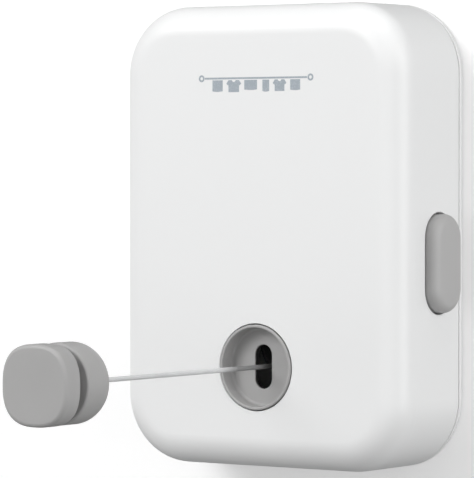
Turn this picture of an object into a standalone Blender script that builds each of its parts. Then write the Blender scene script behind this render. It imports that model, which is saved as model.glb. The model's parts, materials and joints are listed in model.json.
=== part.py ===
"""Retractable clothesline: a wall case with a spring drum, and a line that a knob pulls straight out.

Every piece is drawn in the wall frame, in metres: x runs to the right along the wall, y runs up,
and z runs out of the wall, so a depth is a distance from the wall. The wall frame is an empty that
turns this into the world's frame: X to the right, Z up, and -Y out of the wall.
"""
import math

import bmesh
import bpy

# ---- Driving sizes, in metres ----
WIDTH = 0.093               # case, side to side
HEIGHT = 0.126              # case, bottom to top
DEPTH = 0.0315              # wall to the case's front face
CORNER_RADIUS = 0.019       # case corners, seen from the front
EDGE_RADIUS = 0.008         # soft edge round the front face
SHELL_WALL = 0.0022
GAP = 0.0003                # between pieces that rest on each other or turn in each other
WALL_GAP = 0.0005           # rear cover to the wall
RIM_THICKNESS = 0.0012      # the rear cover's edge that shows behind the shell
COVER_FLOOR = 0.0022
POCKET_MARGIN = 0.006       # rear cover's edge to its bracket pocket

BRACKET_THICKNESS = 0.002
BRACKET_WIDTH = 0.068
BRACKET_HEIGHT = 0.094
BRACKET_CORNER = 0.005
WALL_HOLE_RADIUS = 0.00225
WALL_HOLE_SPACING = 0.064
HOOK_WIDTH = 0.007
HOOK_STEM = 0.002
HOOK_LIP = 0.0035           # how far a hook's lip stands up inside the cover
HOOK_LIP_THICKNESS = 0.0014
HOOK_INSET = 0.0045         # bracket's side edge to a hook's middle
UPPER_HOOK_DROP = 0.004     # bracket's top edge down to an upper hook's stem
LOWER_HOOK_RISE = 0.017     # bracket's bottom edge up to a lower hook's stem

SCREW_SHANK_RADIUS = 0.001
SCREW_HEAD_RADIUS = 0.0028
SCREW_HEAD_HEIGHT = 0.0016
SMALL_HEAD_RADIUS = 0.0020
SMALL_HEAD_HEIGHT = 0.0014
CASE_SCREW_LENGTH = 0.010
SHORT_SCREW_LENGTH = 0.0042
POST_RADIUS = 0.0035
POST_INSET = 0.0105         # case's side, top or bottom to a case screw

LINE_RADIUS = 0.00065
EXIT_HEIGHT = -0.0355       # the line's height where it leaves the case
CUP_RADIUS = 0.0116
CUP_WALL = 0.0008
CUP_DEPTH = 0.0042          # rim down to the cup's floor
CUP_PROUD = 0.0004          # rim in front of the case's front face
CUP_FLOOR = 0.0014
CUP_SKIRT = 0.004          # the cup's floor down to the back edge of its skirt
CUP_FLANGE_RADIUS = 0.0145
CUP_FLANGE_THICKNESS = 0.0015
CUP_SCREW_SPREAD = 0.0168   # cup's axis to each of its two screws
CUP_BOSS_HEIGHT = 0.003
SLOT_WIDTH = 0.0054
SLOT_HEIGHT = 0.012

DRUM_X = 0.002              # the drum's axis, right of the case's middle
DRUM_HEIGHT = 0.020
FLANGE_RADIUS = 0.031
FLANGE_THICKNESS = 0.0012
HUB_RADIUS = 0.018
HUB_WALL = 0.0024
WINDING_WIDTH = 0.0085
LINE_LEAVES_AT = 0.0244     # radius of the turn that runs off the drum
AXLE_RADIUS = 0.004
AXLE_FLANGE_RADIUS = 0.007
AXLE_FLANGE_THICKNESS = 0.0006
AXLE_KEY_RADIUS = 0.0008    # two pegs that keep the axle from turning in the cover
AXLE_KEY_SPREAD = 0.005
BUSH_WALL = 0.0013
BUSH_LENGTH = 0.004
BOSS_WALL = 0.0026
RATCHET_TEETH = 24
RATCHET_RADIUS = 0.0325
TOOTH_HEIGHT = 0.0025
RATCHET_THICKNESS = 0.0025
SPRING_CUP_RADIUS = 0.0275
SPRING_CUP_WALL = 0.0012
SPRING_WIDTH = 0.0067
SPRING_STRIP = 0.0006
SPRING_TURNS = 6
RIB_THICKNESS = 0.0016
ANCHOR_RADIUS = 0.0015      # the line's end knot, in the hub

PULLEY_RADIUS = 0.005       # to the middle of the line
PULLEY_FLANGE_RADIUS = 0.0062
PULLEY_WIDTH = 0.004
PIN_RADIUS = 0.0012
COLLAR = 0.0008             # a pin's head or coil past the pin's own radius
YOKE_CHEEK = 0.0018
YOKE_TOP = 0.0024           # cheek's edge past the pin
YOKE_BASE = 0.002
YOKE_HALF_LENGTH = 0.0055
YOKE_SCREW_SPREAD = 0.0075

BUTTON_WIDTH = 0.0132       # along the case's depth
BUTTON_HEIGHT = 0.0265
BUTTON_PROUD = 0.0039
BUTTON_MIDDLE_DEPTH = 0.01215
BUTTON_MIDDLE_HEIGHT = -0.007
BUTTON_EDGE = 0.0022
BUTTON_CLEARANCE = 0.00035
BUTTON_FLANGE = 0.0015
BUTTON_FLANGE_LIP = 0.0007  # past the button's top and bottom, behind the shell
PUSHER_WIDTH = 0.004        # along the depth
PUSHER_HEIGHT = 0.0064
PUSHER_LAP = 0.0013         # how much of the pawl's thickness the pusher covers
SPRING_SEAT_SETBACK = 0.0122    # shell's inner side to the seat of the button's spring
SPRING_SEAT_THICKNESS = 0.002
SPRING_SEAT_WIDTH = 0.0075
COIL_RADIUS = 0.0023
COIL_WIRE = 0.00025
COIL_TURNS = 6
PAWL_ANGLE = math.radians(-45.0)    # where on the ratchet the pawl bites
PAWL_LENGTH = 0.015
PAWL_BAR = 0.003
PAWL_TIP = 0.003
PAWL_STANDOFF = 0.0008      # tip to the tooth tops, unlocked
PAWL_EYE_RADIUS = 0.0024
PAWL_TIP_WIDTH = 0.003
PAWL_TIP_TAPER = 0.0004     # each side of the tip narrows by this much
PAWL_TIP_LEAD = 0.0006      # past the bar's length, so that the tip swings into the gap's middle
PAWL_HEEL = 0.0027          # how far the pushed heel stands off the bar
PAWL_HEEL_WIDTH = 0.0024
PAWL_SPRING_LENGTH = 0.0022
PIN_HEAD = 0.001

PLATE_SIZE = 0.0208         # the knob's front plate, across
PLATE_THICKNESS = 0.006
PLATE_POWER = 2.6           # 2 is a circle; more squares it up
PLATE_EDGE = 0.0011
GROOVE = 0.003
NECK_RADIUS = 0.006
DOME_RADIUS = 0.01045
DOME_RIM = 0.0064
DOME_ROUND = 0.0076
FERRULE_RADIUS = 0.0018
FERRULE_LENGTH = 0.0038
DOCKED_GAP = 0.0005         # dome to the cup's floor, line wound in

# ---- Depths that follow from the sizes above ----
COVER_RIM_FRONT = WALL_GAP + RIM_THICKNESS
SHELL_BACK = COVER_RIM_FRONT + GAP
POCKET_FLOOR = BRACKET_THICKNESS + GAP
COVER_FRONT = POCKET_FLOOR + COVER_FLOOR
SHELL_FRONT_INSIDE = DEPTH - SHELL_WALL
AXLE_BACK = COVER_FRONT + GAP
DRUM_BACK = AXLE_BACK + AXLE_FLANGE_THICKNESS + GAP
WINDING_BACK = DRUM_BACK + FLANGE_THICKNESS
WINDING_FRONT = WINDING_BACK + WINDING_WIDTH
LINE_DEPTH = (WINDING_BACK + WINDING_FRONT) / 2
FRONT_FLANGE_BACK = WINDING_FRONT + GAP
FRONT_FLANGE_FRONT = FRONT_FLANGE_BACK + FLANGE_THICKNESS
SPRING_CUP_BACK = FRONT_FLANGE_FRONT + GAP
SPRING_BACK = SPRING_CUP_BACK + SPRING_CUP_WALL + GAP
SPRING_FRONT = SPRING_BACK + SPRING_WIDTH
SPRING_CUP_FRONT = SPRING_FRONT + GAP
SPRING_COVER_FRONT = SPRING_CUP_FRONT + GAP + FLANGE_THICKNESS
AXLE_FRONT = SHELL_FRONT_INSIDE - 2 * GAP
AXLE_SOCKET_BACK = SPRING_COVER_FRONT + 2 * GAP
CUP_RIM = DEPTH + CUP_PROUD
CUP_FLOOR_FRONT = CUP_RIM - CUP_DEPTH
CUP_BACK = CUP_FLOOR_FRONT - CUP_SKIRT
CUP_BOSS_BACK = SHELL_FRONT_INSIDE - CUP_BOSS_HEIGHT
CUP_FLANGE_FRONT = CUP_BOSS_BACK - GAP
CUP_FLANGE_BACK = CUP_FLANGE_FRONT - CUP_FLANGE_THICKNESS
PULLEY_DEPTH = LINE_DEPTH + PULLEY_RADIUS
PAWL_BACK = SPRING_CUP_BACK
PAWL_FRONT = PAWL_BACK + RATCHET_THICKNESS
BUTTON_FOOT = WIDTH / 2 - SHELL_WALL - GAP  # where the button's body meets its flange
SPRING_SEAT_X = WIDTH / 2 - SHELL_WALL - SPRING_SEAT_SETBACK
SPRING_SEAT_TOP = BUTTON_MIDDLE_HEIGHT - PUSHER_HEIGHT - 2 * GAP
PULLED_OUT = math.pi * LINE_LEAVES_AT       # half a turn of the drum is off, as drawn
DOME_BACK = CUP_FLOOR_FRONT + DOCKED_GAP + PULLED_OUT
DOME_FRONT = DOME_BACK + DOME_ROUND + DOME_RIM
PLATE_BACK = DOME_FRONT + GROOVE
PLATE_FRONT = PLATE_BACK + PLATE_THICKNESS

# ---- The line's lean between the drum and the pulley, and the pawl's pivot ----
DRUM_RISE = DRUM_HEIGHT - EXIT_HEIGHT
DRUM_REACH = math.hypot(DRUM_X, DRUM_RISE)
LEAN = math.asin(LINE_LEAVES_AT / DRUM_REACH) - math.atan2(DRUM_X, DRUM_RISE)
UP_THE_LINE = (-math.sin(LEAN), math.cos(LEAN))
RUN_LENGTH = math.sqrt(DRUM_REACH ** 2 - LINE_LEAVES_AT ** 2)
PULLEY_X = PULLEY_RADIUS * UP_THE_LINE[0]
PULLEY_HEIGHT = EXIT_HEIGHT + PULLEY_RADIUS * UP_THE_LINE[1]
PAWL_MIDDLE = RATCHET_RADIUS + PAWL_STANDOFF + PAWL_TIP + PAWL_BAR / 2
PAWL_X = DRUM_X + PAWL_MIDDLE * math.cos(PAWL_ANGLE) - PAWL_LENGTH * math.sin(PAWL_ANGLE)
PAWL_HEIGHT = DRUM_HEIGHT + PAWL_MIDDLE * math.sin(PAWL_ANGLE) + PAWL_LENGTH * math.cos(PAWL_ANGLE)

ROUND_STEPS = 40
SMALL_STEPS = 16


# ---- Drawing helpers ----
def material(name, colour, roughness, metallic=0.0):
    made = bpy.data.materials.new(name)
    made.use_nodes = True
    shader = made.node_tree.nodes["Principled BSDF"]
    shader.inputs["Base Color"].default_value = (*colour, 1.0)
    shader.inputs["Roughness"].default_value = roughness
    shader.inputs["Metallic"].default_value = metallic
    return made


def piece(name, mesh_data, finish, parent, location=(0, 0, 0), rotation=(0, 0, 0)):
    """Puts a bmesh into a named object with smooth round faces, under the given frame."""
    bmesh.ops.remove_doubles(mesh_data, verts=mesh_data.verts, dist=1e-7)
    bmesh.ops.recalc_face_normals(mesh_data, faces=mesh_data.faces)
    mesh = bpy.data.meshes.new(name)
    mesh_data.to_mesh(mesh)
    mesh_data.free()
    mesh.materials.append(finish)
    mesh.shade_smooth()
    mesh.set_sharp_from_angle(angle=math.radians(35))
    made = bpy.data.objects.new(name, mesh)
    bpy.context.scene.collection.objects.link(made)
    made.parent = parent
    made.location = location
    made.rotation_euler = rotation
    return made


def frame(name, location=(0, 0, 0), rotation=(0, 0, 0), parent=None):
    made = bpy.data.objects.new(name, None)
    bpy.context.scene.collection.objects.link(made)
    made.parent = parent
    made.location = location
    made.rotation_euler = rotation
    return made


def combine(target, tool, operation):
    """Cuts or joins with a hidden guide object."""
    tool.hide_render = True
    tool.display_type = "WIRE"
    step = target.modifiers.new(tool.name, "BOOLEAN")
    step.object = tool
    step.operation = operation
    step.solver = "EXACT"


def circle(radius, steps, centre=(0, 0)):
    turns = [2 * math.pi * step / steps for step in range(steps)]
    return [(centre[0] + radius * math.cos(a), centre[1] + radius * math.sin(a)) for a in turns]


def rounded(width, height, radius, corner_steps=6):
    """The outline of a rounded rectangle, round the origin."""
    points = []
    for corner, (side_x, side_y) in enumerate(((1, 1), (-1, 1), (-1, -1), (1, -1))):
        for step in range(corner_steps + 1):
            angle = math.pi / 2 * (corner + step / corner_steps)
            points.append((side_x * (width / 2 - radius) + radius * math.cos(angle),
                           side_y * (height / 2 - radius) + radius * math.sin(angle)))
    return points


def squircle(size, power, steps=32):
    """The outline of a square with bulging sides, round the origin."""
    points = []
    for step in range(steps):
        across, along = math.cos(2 * math.pi * step / steps), math.sin(2 * math.pi * step / steps)
        reach = size / 2 / (abs(across) ** power + abs(along) ** power) ** (1 / power)
        points.append((reach * across, reach * along))
    return points


def loft(loops, ring=False):
    """Skins loops of (x, y) points, each given with its depth; a ring joins its ends, else caps do."""
    skin = bmesh.new()
    rows = [[skin.verts.new((x, y, depth)) for x, y in points] for points, depth in loops]
    pairs = list(zip(rows, rows[1:])) + ([(rows[-1], rows[0])] if ring else [])
    for low, high in pairs:
        for here in range(len(low)):
            after = (here + 1) % len(low)
            skin.faces.new((low[here], low[after], high[after], high[here]))
    if not ring:
        skin.faces.new(rows[0])
        skin.faces.new(rows[-1])
    return skin


def prism(points, low, high):
    return loft([(points, low), (points, high)])


def rod(radius, low, high, steps=SMALL_STEPS, centre=(0, 0)):
    return prism(circle(radius, steps, centre), low, high)


def box(low, high):
    corners = [(low[0], low[1]), (high[0], low[1]), (high[0], high[1]), (low[0], high[1])]
    return prism(corners, low[2], high[2])


def turned(profile, steps=ROUND_STEPS):
    """Spins a closed profile of (radius, depth) points about the z axis."""
    body = bmesh.new()
    verts = [body.verts.new((radius, 0, depth)) for radius, depth in profile]
    edges = [body.edges.new((verts[i], verts[(i + 1) % len(verts)])) for i in range(len(verts))]
    bmesh.ops.spin(body, geom=verts + edges, cent=(0, 0, 0), axis=(0, 0, 1), angle=2 * math.pi,
                   steps=steps, use_merge=True)
    bmesh.ops.remove_doubles(body, verts=body.verts, dist=1e-7)
    loose = [edge for edge in body.edges if not edge.link_faces]
    bmesh.ops.delete(body, geom=loose, context="EDGES")
    return body


def ring(inner, outer, low, high, steps=ROUND_STEPS):
    return turned([(inner, low), (outer, low), (outer, high), (inner, high)], steps)


def add(target, name, shape, **place):
    combine(target, piece(name, shape, target.data.materials[0], target.parent, **place), "UNION")


def cut(target, name, shape, **place):
    combine(target, piece(name, shape, target.data.materials[0], target.parent, **place), "DIFFERENCE")


def case_outline(inset):
    return rounded(WIDTH - 2 * inset, HEIGHT - 2 * inset, CORNER_RADIUS - inset)


def soft_edge(radius, steps=5):
    """Inset and depth of points round the front edge, all about the outer edge's own centre."""
    middle = DEPTH - EDGE_RADIUS
    turns = [math.pi / 2 * step / steps for step in range(steps + 1)]
    return [(EDGE_RADIUS - radius * math.cos(a), middle + radius * math.sin(a)) for a in turns]


def case_screw_places():
    x, y = WIDTH / 2 - POST_INSET, HEIGHT / 2 - POST_INSET
    return [(x, y), (-x, y), (-x, -y), (x, -y)]


def hook_places():
    x = BRACKET_WIDTH / 2 - HOOK_INSET
    upper = BRACKET_HEIGHT / 2 - UPPER_HOOK_DROP
    lower = -BRACKET_HEIGHT / 2 + LOWER_HOOK_RISE
    return [(x, upper), (-x, upper), (-x, lower), (x, lower)]


def yoke_screw_places():
    return [(PULLEY_X + side * YOKE_SCREW_SPREAD * math.cos(LEAN),
             PULLEY_HEIGHT + side * YOKE_SCREW_SPREAD * math.sin(LEAN)) for side in (-1, 1)]


def screw(name, head_radius, head_height, length, finish, parent, location, turn_over=False):
    """A pan-head screw along z whose head ends at the origin, with its shank beyond."""
    shape = turned([(0, -head_height), (head_radius * 0.8, -head_height), (head_radius, -head_height * 0.6),
                    (head_radius, 0), (SCREW_SHANK_RADIUS, 0), (SCREW_SHANK_RADIUS, length * 0.9),
                    (SCREW_SHANK_RADIUS * 0.4, length), (0, length)], SMALL_STEPS)
    rotation = (math.pi, 0, 0) if turn_over else (0, 0, 0)
    return piece(name, shape, finish, parent, location, rotation)


# ---- The case ----
def make_front_shell(finish, wall):
    inner_edge = reversed(soft_edge(EDGE_RADIUS - SHELL_WALL))
    inner = [(case_outline(inset), depth) for inset, depth in inner_edge]
    outer = [(case_outline(inset), depth) for inset, depth in soft_edge(EDGE_RADIUS)]
    back = [(case_outline(SHELL_WALL), SHELL_BACK), (case_outline(0), SHELL_BACK)]
    shell = piece("front_shell", loft(inner + back + outer), finish, wall)
    in_wall = DEPTH - SHELL_WALL / 2
    for number, place in enumerate(case_screw_places(), 1):
        post = rod(POST_RADIUS, COVER_FRONT + GAP, SHELL_FRONT_INSIDE + GAP, centre=place)
        add(shell, f"post_{number}", post)
    for side in (-1, 1):
        place = (side * CUP_SCREW_SPREAD, EXIT_HEIGHT)
        add(shell, f"cup_boss_{side}", rod(SMALL_HEAD_RADIUS + 2 * GAP, CUP_BOSS_BACK, in_wall, centre=place))
    post_back = PAWL_FRONT + PAWL_SPRING_LENGTH + 3 * GAP
    add(shell, "pawl_post", rod(PAWL_EYE_RADIUS + 2 * GAP, post_back, in_wall, centre=(PAWL_X, PAWL_HEIGHT)))
    socket_inner = AXLE_RADIUS + GAP
    add(shell, "axle_socket", ring(socket_inner, socket_inner + BOSS_WALL, AXLE_SOCKET_BACK, in_wall),
        location=(DRUM_X, DRUM_HEIGHT, 0))
    screw_hole = SCREW_SHANK_RADIUS + GAP
    for number, place in enumerate(case_screw_places(), 1):
        cut(shell, f"post_hole_{number}",
            rod(screw_hole, COVER_FRONT - GAP, COVER_FRONT + CASE_SCREW_LENGTH, centre=place))
    for side in (-1, 1):
        place = (side * CUP_SCREW_SPREAD, EXIT_HEIGHT)
        hole = rod(screw_hole, CUP_BOSS_BACK - GAP, SHELL_FRONT_INSIDE, centre=place)
        cut(shell, f"cup_boss_hole_{side}", hole)
    cut(shell, "pawl_pin_hole", rod(PIN_RADIUS + GAP, PAWL_FRONT, SHELL_FRONT_INSIDE - 3 * GAP,
                                    centre=(PAWL_X, PAWL_HEIGHT)))
    cut(shell, "cup_hole", rod(CUP_RADIUS + GAP, CUP_BACK, CUP_RIM, ROUND_STEPS, (0, EXIT_HEIGHT)))
    opening = rounded(BUTTON_WIDTH + 2 * BUTTON_CLEARANCE, BUTTON_HEIGHT + 2 * BUTTON_CLEARANCE,
                      BUTTON_WIDTH / 2 + BUTTON_CLEARANCE - 1e-5)
    cut(shell, "button_opening", prism(opening, -2 * SHELL_WALL, SHELL_WALL),
        location=(WIDTH / 2, BUTTON_MIDDLE_HEIGHT, BUTTON_MIDDLE_DEPTH), rotation=(0, math.pi / 2, 0))
    return shell


def make_rear_cover(finish, wall):
    tongue = SHELL_WALL + GAP
    cover = piece("rear_cover", loft([
        (case_outline(POCKET_MARGIN), POCKET_FLOOR), (case_outline(POCKET_MARGIN), WALL_GAP),
        (case_outline(0), WALL_GAP), (case_outline(0), COVER_RIM_FRONT),
        (case_outline(tongue), COVER_RIM_FRONT), (case_outline(tongue), COVER_FRONT)]), finish, wall)
    seat_low = SPRING_SEAT_TOP - SPRING_SEAT_WIDTH
    add(cover, "spring_seat", box((SPRING_SEAT_X - SPRING_SEAT_THICKNESS, seat_low, COVER_FRONT - GAP),
                                  (SPRING_SEAT_X, SPRING_SEAT_TOP, BUTTON_MIDDLE_DEPTH)))
    screw_hole = SCREW_SHANK_RADIUS + GAP
    sunk = case_screw_places() + [(DRUM_X, DRUM_HEIGHT)]
    for number, place in enumerate(sunk, 1):
        cut(cover, f"screw_hole_{number}", rod(screw_hole, 0, 2 * COVER_FRONT, centre=place))
        cut(cover, f"head_recess_{number}",
            rod(SCREW_HEAD_RADIUS + 2 * GAP, 0, POCKET_FLOOR + 2 * GAP, centre=place))
    for number, place in enumerate(yoke_screw_places(), 1):
        cut(cover, f"yoke_hole_{number}", rod(screw_hole, 0, 2 * COVER_FRONT, centre=place))
    for side in (-1, 1):
        place = (DRUM_X + side * AXLE_KEY_SPREAD, DRUM_HEIGHT)
        cut(cover, f"axle_key_hole_{side}", rod(AXLE_KEY_RADIUS + GAP, 0, 2 * COVER_FRONT, centre=place))
    for number, (x, y) in enumerate(hook_places(), 1):
        half = HOOK_WIDTH / 2 + GAP
        low = y - HOOK_STEM / 2 - HOOK_LIP - 2 * GAP
        high = y + HOOK_STEM / 2 + GAP
        cut(cover, f"hook_slot_{number}", box((x - half, low, 0), (x + half, high, 2 * COVER_FRONT)))
    return cover


def make_wall_bracket(finish, wall):
    plate = rounded(BRACKET_WIDTH, BRACKET_HEIGHT, BRACKET_CORNER, 5)
    bracket = piece("wall_bracket", prism(plate, 0, BRACKET_THICKNESS), finish, wall)
    lip_back = COVER_FRONT + GAP
    lip_front = lip_back + HOOK_LIP_THICKNESS
    for number, (x, y) in enumerate(hook_places(), 1):
        half = HOOK_WIDTH / 2
        low, high = y - HOOK_STEM / 2, y + HOOK_STEM / 2
        top = high + HOOK_LIP
        hook = [(low, BRACKET_THICKNESS / 2), (low, lip_front), (top, lip_front), (top, lip_back),
                (high, lip_back), (high, BRACKET_THICKNESS / 2)]
        shape = bmesh.new()
        sides = [[shape.verts.new((x + side * half, up, depth)) for up, depth in hook] for side in (-1, 1)]
        for here in range(len(hook)):
            after = (here + 1) % len(hook)
            shape.faces.new((sides[0][here], sides[0][after], sides[1][after], sides[1][here]))
        for side in sides:
            shape.faces.new(side)
        add(bracket, f"hook_{number}", shape)
    for side in (-1, 1):
        cut(bracket, f"wall_hole_{side}", rod(WALL_HOLE_RADIUS, -0.001, 2 * BRACKET_THICKNESS, 24,
                                              (0, side * WALL_HOLE_SPACING / 2)))
    cut(bracket, "axle_screw_window", rod(SCREW_HEAD_RADIUS + 2 * GAP, -0.001, 2 * BRACKET_THICKNESS, 24,
                                          (DRUM_X, DRUM_HEIGHT)))
    return bracket


def make_case_screws(finish, wall):
    bearing = POCKET_FLOOR + GAP
    for number, (x, y) in enumerate(case_screw_places(), 1):
        screw(f"case_screw_{number}", SCREW_HEAD_RADIUS, SCREW_HEAD_HEIGHT, CASE_SCREW_LENGTH, finish, wall,
              (x, y, bearing))
    screw("axle_screw", SCREW_HEAD_RADIUS, SCREW_HEAD_HEIGHT, CASE_SCREW_LENGTH * 0.8, finish, wall,
          (DRUM_X, DRUM_HEIGHT, bearing))


# ---- The outlet ----
def make_outlet_cup(finish, wall):
    inside = CUP_RADIUS - CUP_WALL
    place = (0, EXIT_HEIGHT, 0)
    profile = [(0, CUP_FLOOR_FRONT), (inside - 0.0008, CUP_FLOOR_FRONT), (inside, CUP_FLOOR_FRONT + 0.0008),
               (inside, CUP_RIM), (CUP_RADIUS, CUP_RIM), (CUP_RADIUS, CUP_FLANGE_FRONT),
               (CUP_FLANGE_RADIUS, CUP_FLANGE_FRONT), (CUP_FLANGE_RADIUS, CUP_FLANGE_BACK),
               (CUP_RADIUS, CUP_FLANGE_BACK), (CUP_RADIUS, CUP_BACK), (inside, CUP_BACK),
               (inside, CUP_FLOOR_FRONT - CUP_FLOOR), (0, CUP_FLOOR_FRONT - CUP_FLOOR)]
    cup = piece("outlet_cup", turned(profile), finish, wall, place)
    lug = SMALL_HEAD_RADIUS + 2 * GAP
    for side in (-1, 1):
        near, far = side * CUP_RADIUS, side * (CUP_SCREW_SPREAD + lug)
        add(cup, f"cup_lug_{side}", box((min(near, far), EXIT_HEIGHT - lug, CUP_FLANGE_BACK),
                                        (max(near, far), EXIT_HEIGHT + lug, CUP_FLANGE_FRONT)))
        cut(cup, f"cup_screw_hole_{side}", rod(SCREW_SHANK_RADIUS + GAP, CUP_BACK, CUP_RIM,
                                               centre=(side * CUP_SCREW_SPREAD, EXIT_HEIGHT)))
    slot = rounded(SLOT_WIDTH, SLOT_HEIGHT, SLOT_WIDTH / 2 - 1e-5)
    cut(cup, "line_slot", prism(slot, CUP_BACK - 0.001, CUP_FLOOR_FRONT + 0.001), location=place)
    return cup


def make_cup_screws(finish, wall):
    for number, side in enumerate((-1, 1), 1):
        screw(f"cup_screw_{number}", SMALL_HEAD_RADIUS, SMALL_HEAD_HEIGHT, SHORT_SCREW_LENGTH, finish, wall,
              (side * CUP_SCREW_SPREAD, EXIT_HEIGHT, CUP_FLANGE_BACK - GAP))


# ---- The guide pulley, in a frame whose y runs up the line and whose x is the pulley's axis ----
def make_pulley(finishes, wall):
    lean = frame("pulley_frame", (PULLEY_X, PULLEY_HEIGHT, PULLEY_DEPTH), (0, 0, LEAN), wall)
    across = (0, math.pi / 2, 0)
    groove = PULLEY_RADIUS - LINE_RADIUS - GAP
    half, lip = PULLEY_WIDTH / 2, 0.0005
    bore = PIN_RADIUS + GAP
    rim = PULLEY_FLANGE_RADIUS
    profile = [(bore, -half), (rim, -half), (rim, -half + lip), (groove, -LINE_RADIUS - GAP),
               (groove, LINE_RADIUS + GAP), (rim, half - lip), (rim, half), (bore, half)]
    piece("guide_pulley", turned(profile, 32), finishes["acetal"], lean, rotation=across)
    cheek_in = half + GAP
    cheek_out = cheek_in + YOKE_CHEEK
    back = COVER_FRONT + GAP - PULLEY_DEPTH
    top = PIN_RADIUS + YOKE_TOP
    reach = YOKE_SCREW_SPREAD + SMALL_HEAD_RADIUS + 2 * GAP
    base = box((-reach, -YOKE_HALF_LENGTH, back), (reach, YOKE_HALF_LENGTH, back + YOKE_BASE))
    yoke = piece("pulley_yoke", base, finishes["inner"], lean)
    for side in (-1, 1):
        low, high = sorted((side * cheek_in, side * cheek_out))
        add(yoke, f"cheek_{side}", box((low, -YOKE_HALF_LENGTH * 0.8, back + YOKE_BASE / 2),
                                       (high, YOKE_HALF_LENGTH * 0.8, top)))
        cut(yoke, f"yoke_screw_hole_{side}", rod(SCREW_SHANK_RADIUS + GAP, 2 * back, back + 2 * YOKE_BASE,
                                                 centre=(side * YOKE_SCREW_SPREAD, 0)))
    cut(yoke, "pin_bore", rod(PIN_RADIUS + GAP, -2 * cheek_out, 2 * cheek_out), rotation=across)
    head = cheek_out + GAP
    piece("pulley_pin", turned([(0, -head - PIN_HEAD), (PIN_RADIUS, -head - PIN_HEAD), (PIN_RADIUS, head),
                                (PIN_RADIUS + COLLAR, head), (PIN_RADIUS + COLLAR, head + PIN_HEAD),
                                (0, head + PIN_HEAD)], SMALL_STEPS), finishes["steel"], lean, rotation=across)
    clip_inner = PIN_RADIUS + GAP
    clip = ring(clip_inner, clip_inner + COLLAR, -head - PIN_HEAD * 0.7, -head, SMALL_STEPS)
    piece("pin_clip", clip, finishes["steel"], lean, rotation=across)
    for number, side in enumerate((-1, 1), 1):
        screw(f"yoke_screw_{number}", SMALL_HEAD_RADIUS, SMALL_HEAD_HEIGHT, SHORT_SCREW_LENGTH - 0.0004,
              finishes["steel"], lean, (side * YOKE_SCREW_SPREAD, 0, back + YOKE_BASE + GAP), turn_over=True)


# ---- The drum and its spring, in a frame on the drum's axis ----
def make_axle(finish, drum_axis):
    axle = piece("axle", turned([(0, AXLE_BACK), (AXLE_FLANGE_RADIUS, AXLE_BACK),
                                 (AXLE_FLANGE_RADIUS, AXLE_BACK + AXLE_FLANGE_THICKNESS),
                                 (AXLE_RADIUS, AXLE_BACK + AXLE_FLANGE_THICKNESS), (AXLE_RADIUS, AXLE_FRONT),
                                 (0, AXLE_FRONT)], 32), finish, drum_axis)
    for side in (-1, 1):
        key_front = AXLE_BACK + AXLE_FLANGE_THICKNESS / 2
        add(axle, f"axle_key_{side}", rod(AXLE_KEY_RADIUS, POCKET_FLOOR + GAP, key_front,
                                          centre=(side * AXLE_KEY_SPREAD, 0)))
    cut(axle, "axle_screw_hole", rod(SCREW_SHANK_RADIUS + GAP, 0, POCKET_FLOOR + CASE_SCREW_LENGTH))
    half = SPRING_STRIP / 2 + GAP
    cut(axle, "spring_slot", box((0, -half, SPRING_BACK - GAP), (2 * AXLE_RADIUS, half, 2 * AXLE_FRONT)))
    return axle


def make_drum(finishes, drum_axis):
    bush_inner = AXLE_RADIUS + GAP
    bore = bush_inner + BUSH_WALL + GAP
    hub_inner = HUB_RADIUS - HUB_WALL
    boss = bore + BOSS_WALL
    drum = piece("drum", turned([
        (bore, DRUM_BACK), (FLANGE_RADIUS, DRUM_BACK), (FLANGE_RADIUS, WINDING_BACK),
        (HUB_RADIUS, WINDING_BACK), (HUB_RADIUS, WINDING_FRONT), (hub_inner, WINDING_FRONT),
        (hub_inner, WINDING_BACK), (boss, WINDING_BACK), (boss, WINDING_FRONT),
        (bore, WINDING_FRONT)]), finishes["inner"], drum_axis)
    for number in range(3):
        turn = math.pi / 2 + number * 2 * math.pi / 3
        rib = box((boss - BOSS_WALL / 2, -RIB_THICKNESS / 2, WINDING_BACK - GAP),
                  (HUB_RADIUS - HUB_WALL / 2, RIB_THICKNESS / 2, WINDING_FRONT - RIB_THICKNESS))
        add(drum, f"drum_rib_{number}", rib, rotation=(0, 0, turn))
    piece("drum_flange", ring(bore, FLANGE_RADIUS, FRONT_FLANGE_BACK, FRONT_FLANGE_FRONT), finishes["inner"],
          drum_axis)
    for name, low in (("bush_rear", DRUM_BACK), ("bush_front", WINDING_FRONT - BUSH_LENGTH)):
        piece(name, ring(bush_inner, bush_inner + BUSH_WALL, low, low + BUSH_LENGTH, 32), finishes["acetal"],
              drum_axis)
    winding_outer = LINE_LEAVES_AT - LINE_RADIUS - GAP
    piece("line_winding", ring(HUB_RADIUS + GAP, winding_outer, WINDING_BACK + GAP, WINDING_FRONT - GAP),
          finishes["line"], drum_axis)
    anchor = hub_inner - GAP - ANCHOR_RADIUS
    piece("line_anchor", rod(ANCHOR_RADIUS, WINDING_BACK + GAP, LINE_DEPTH, 12), finishes["line"], drum_axis,
          (0, -anchor, 0))


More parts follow.
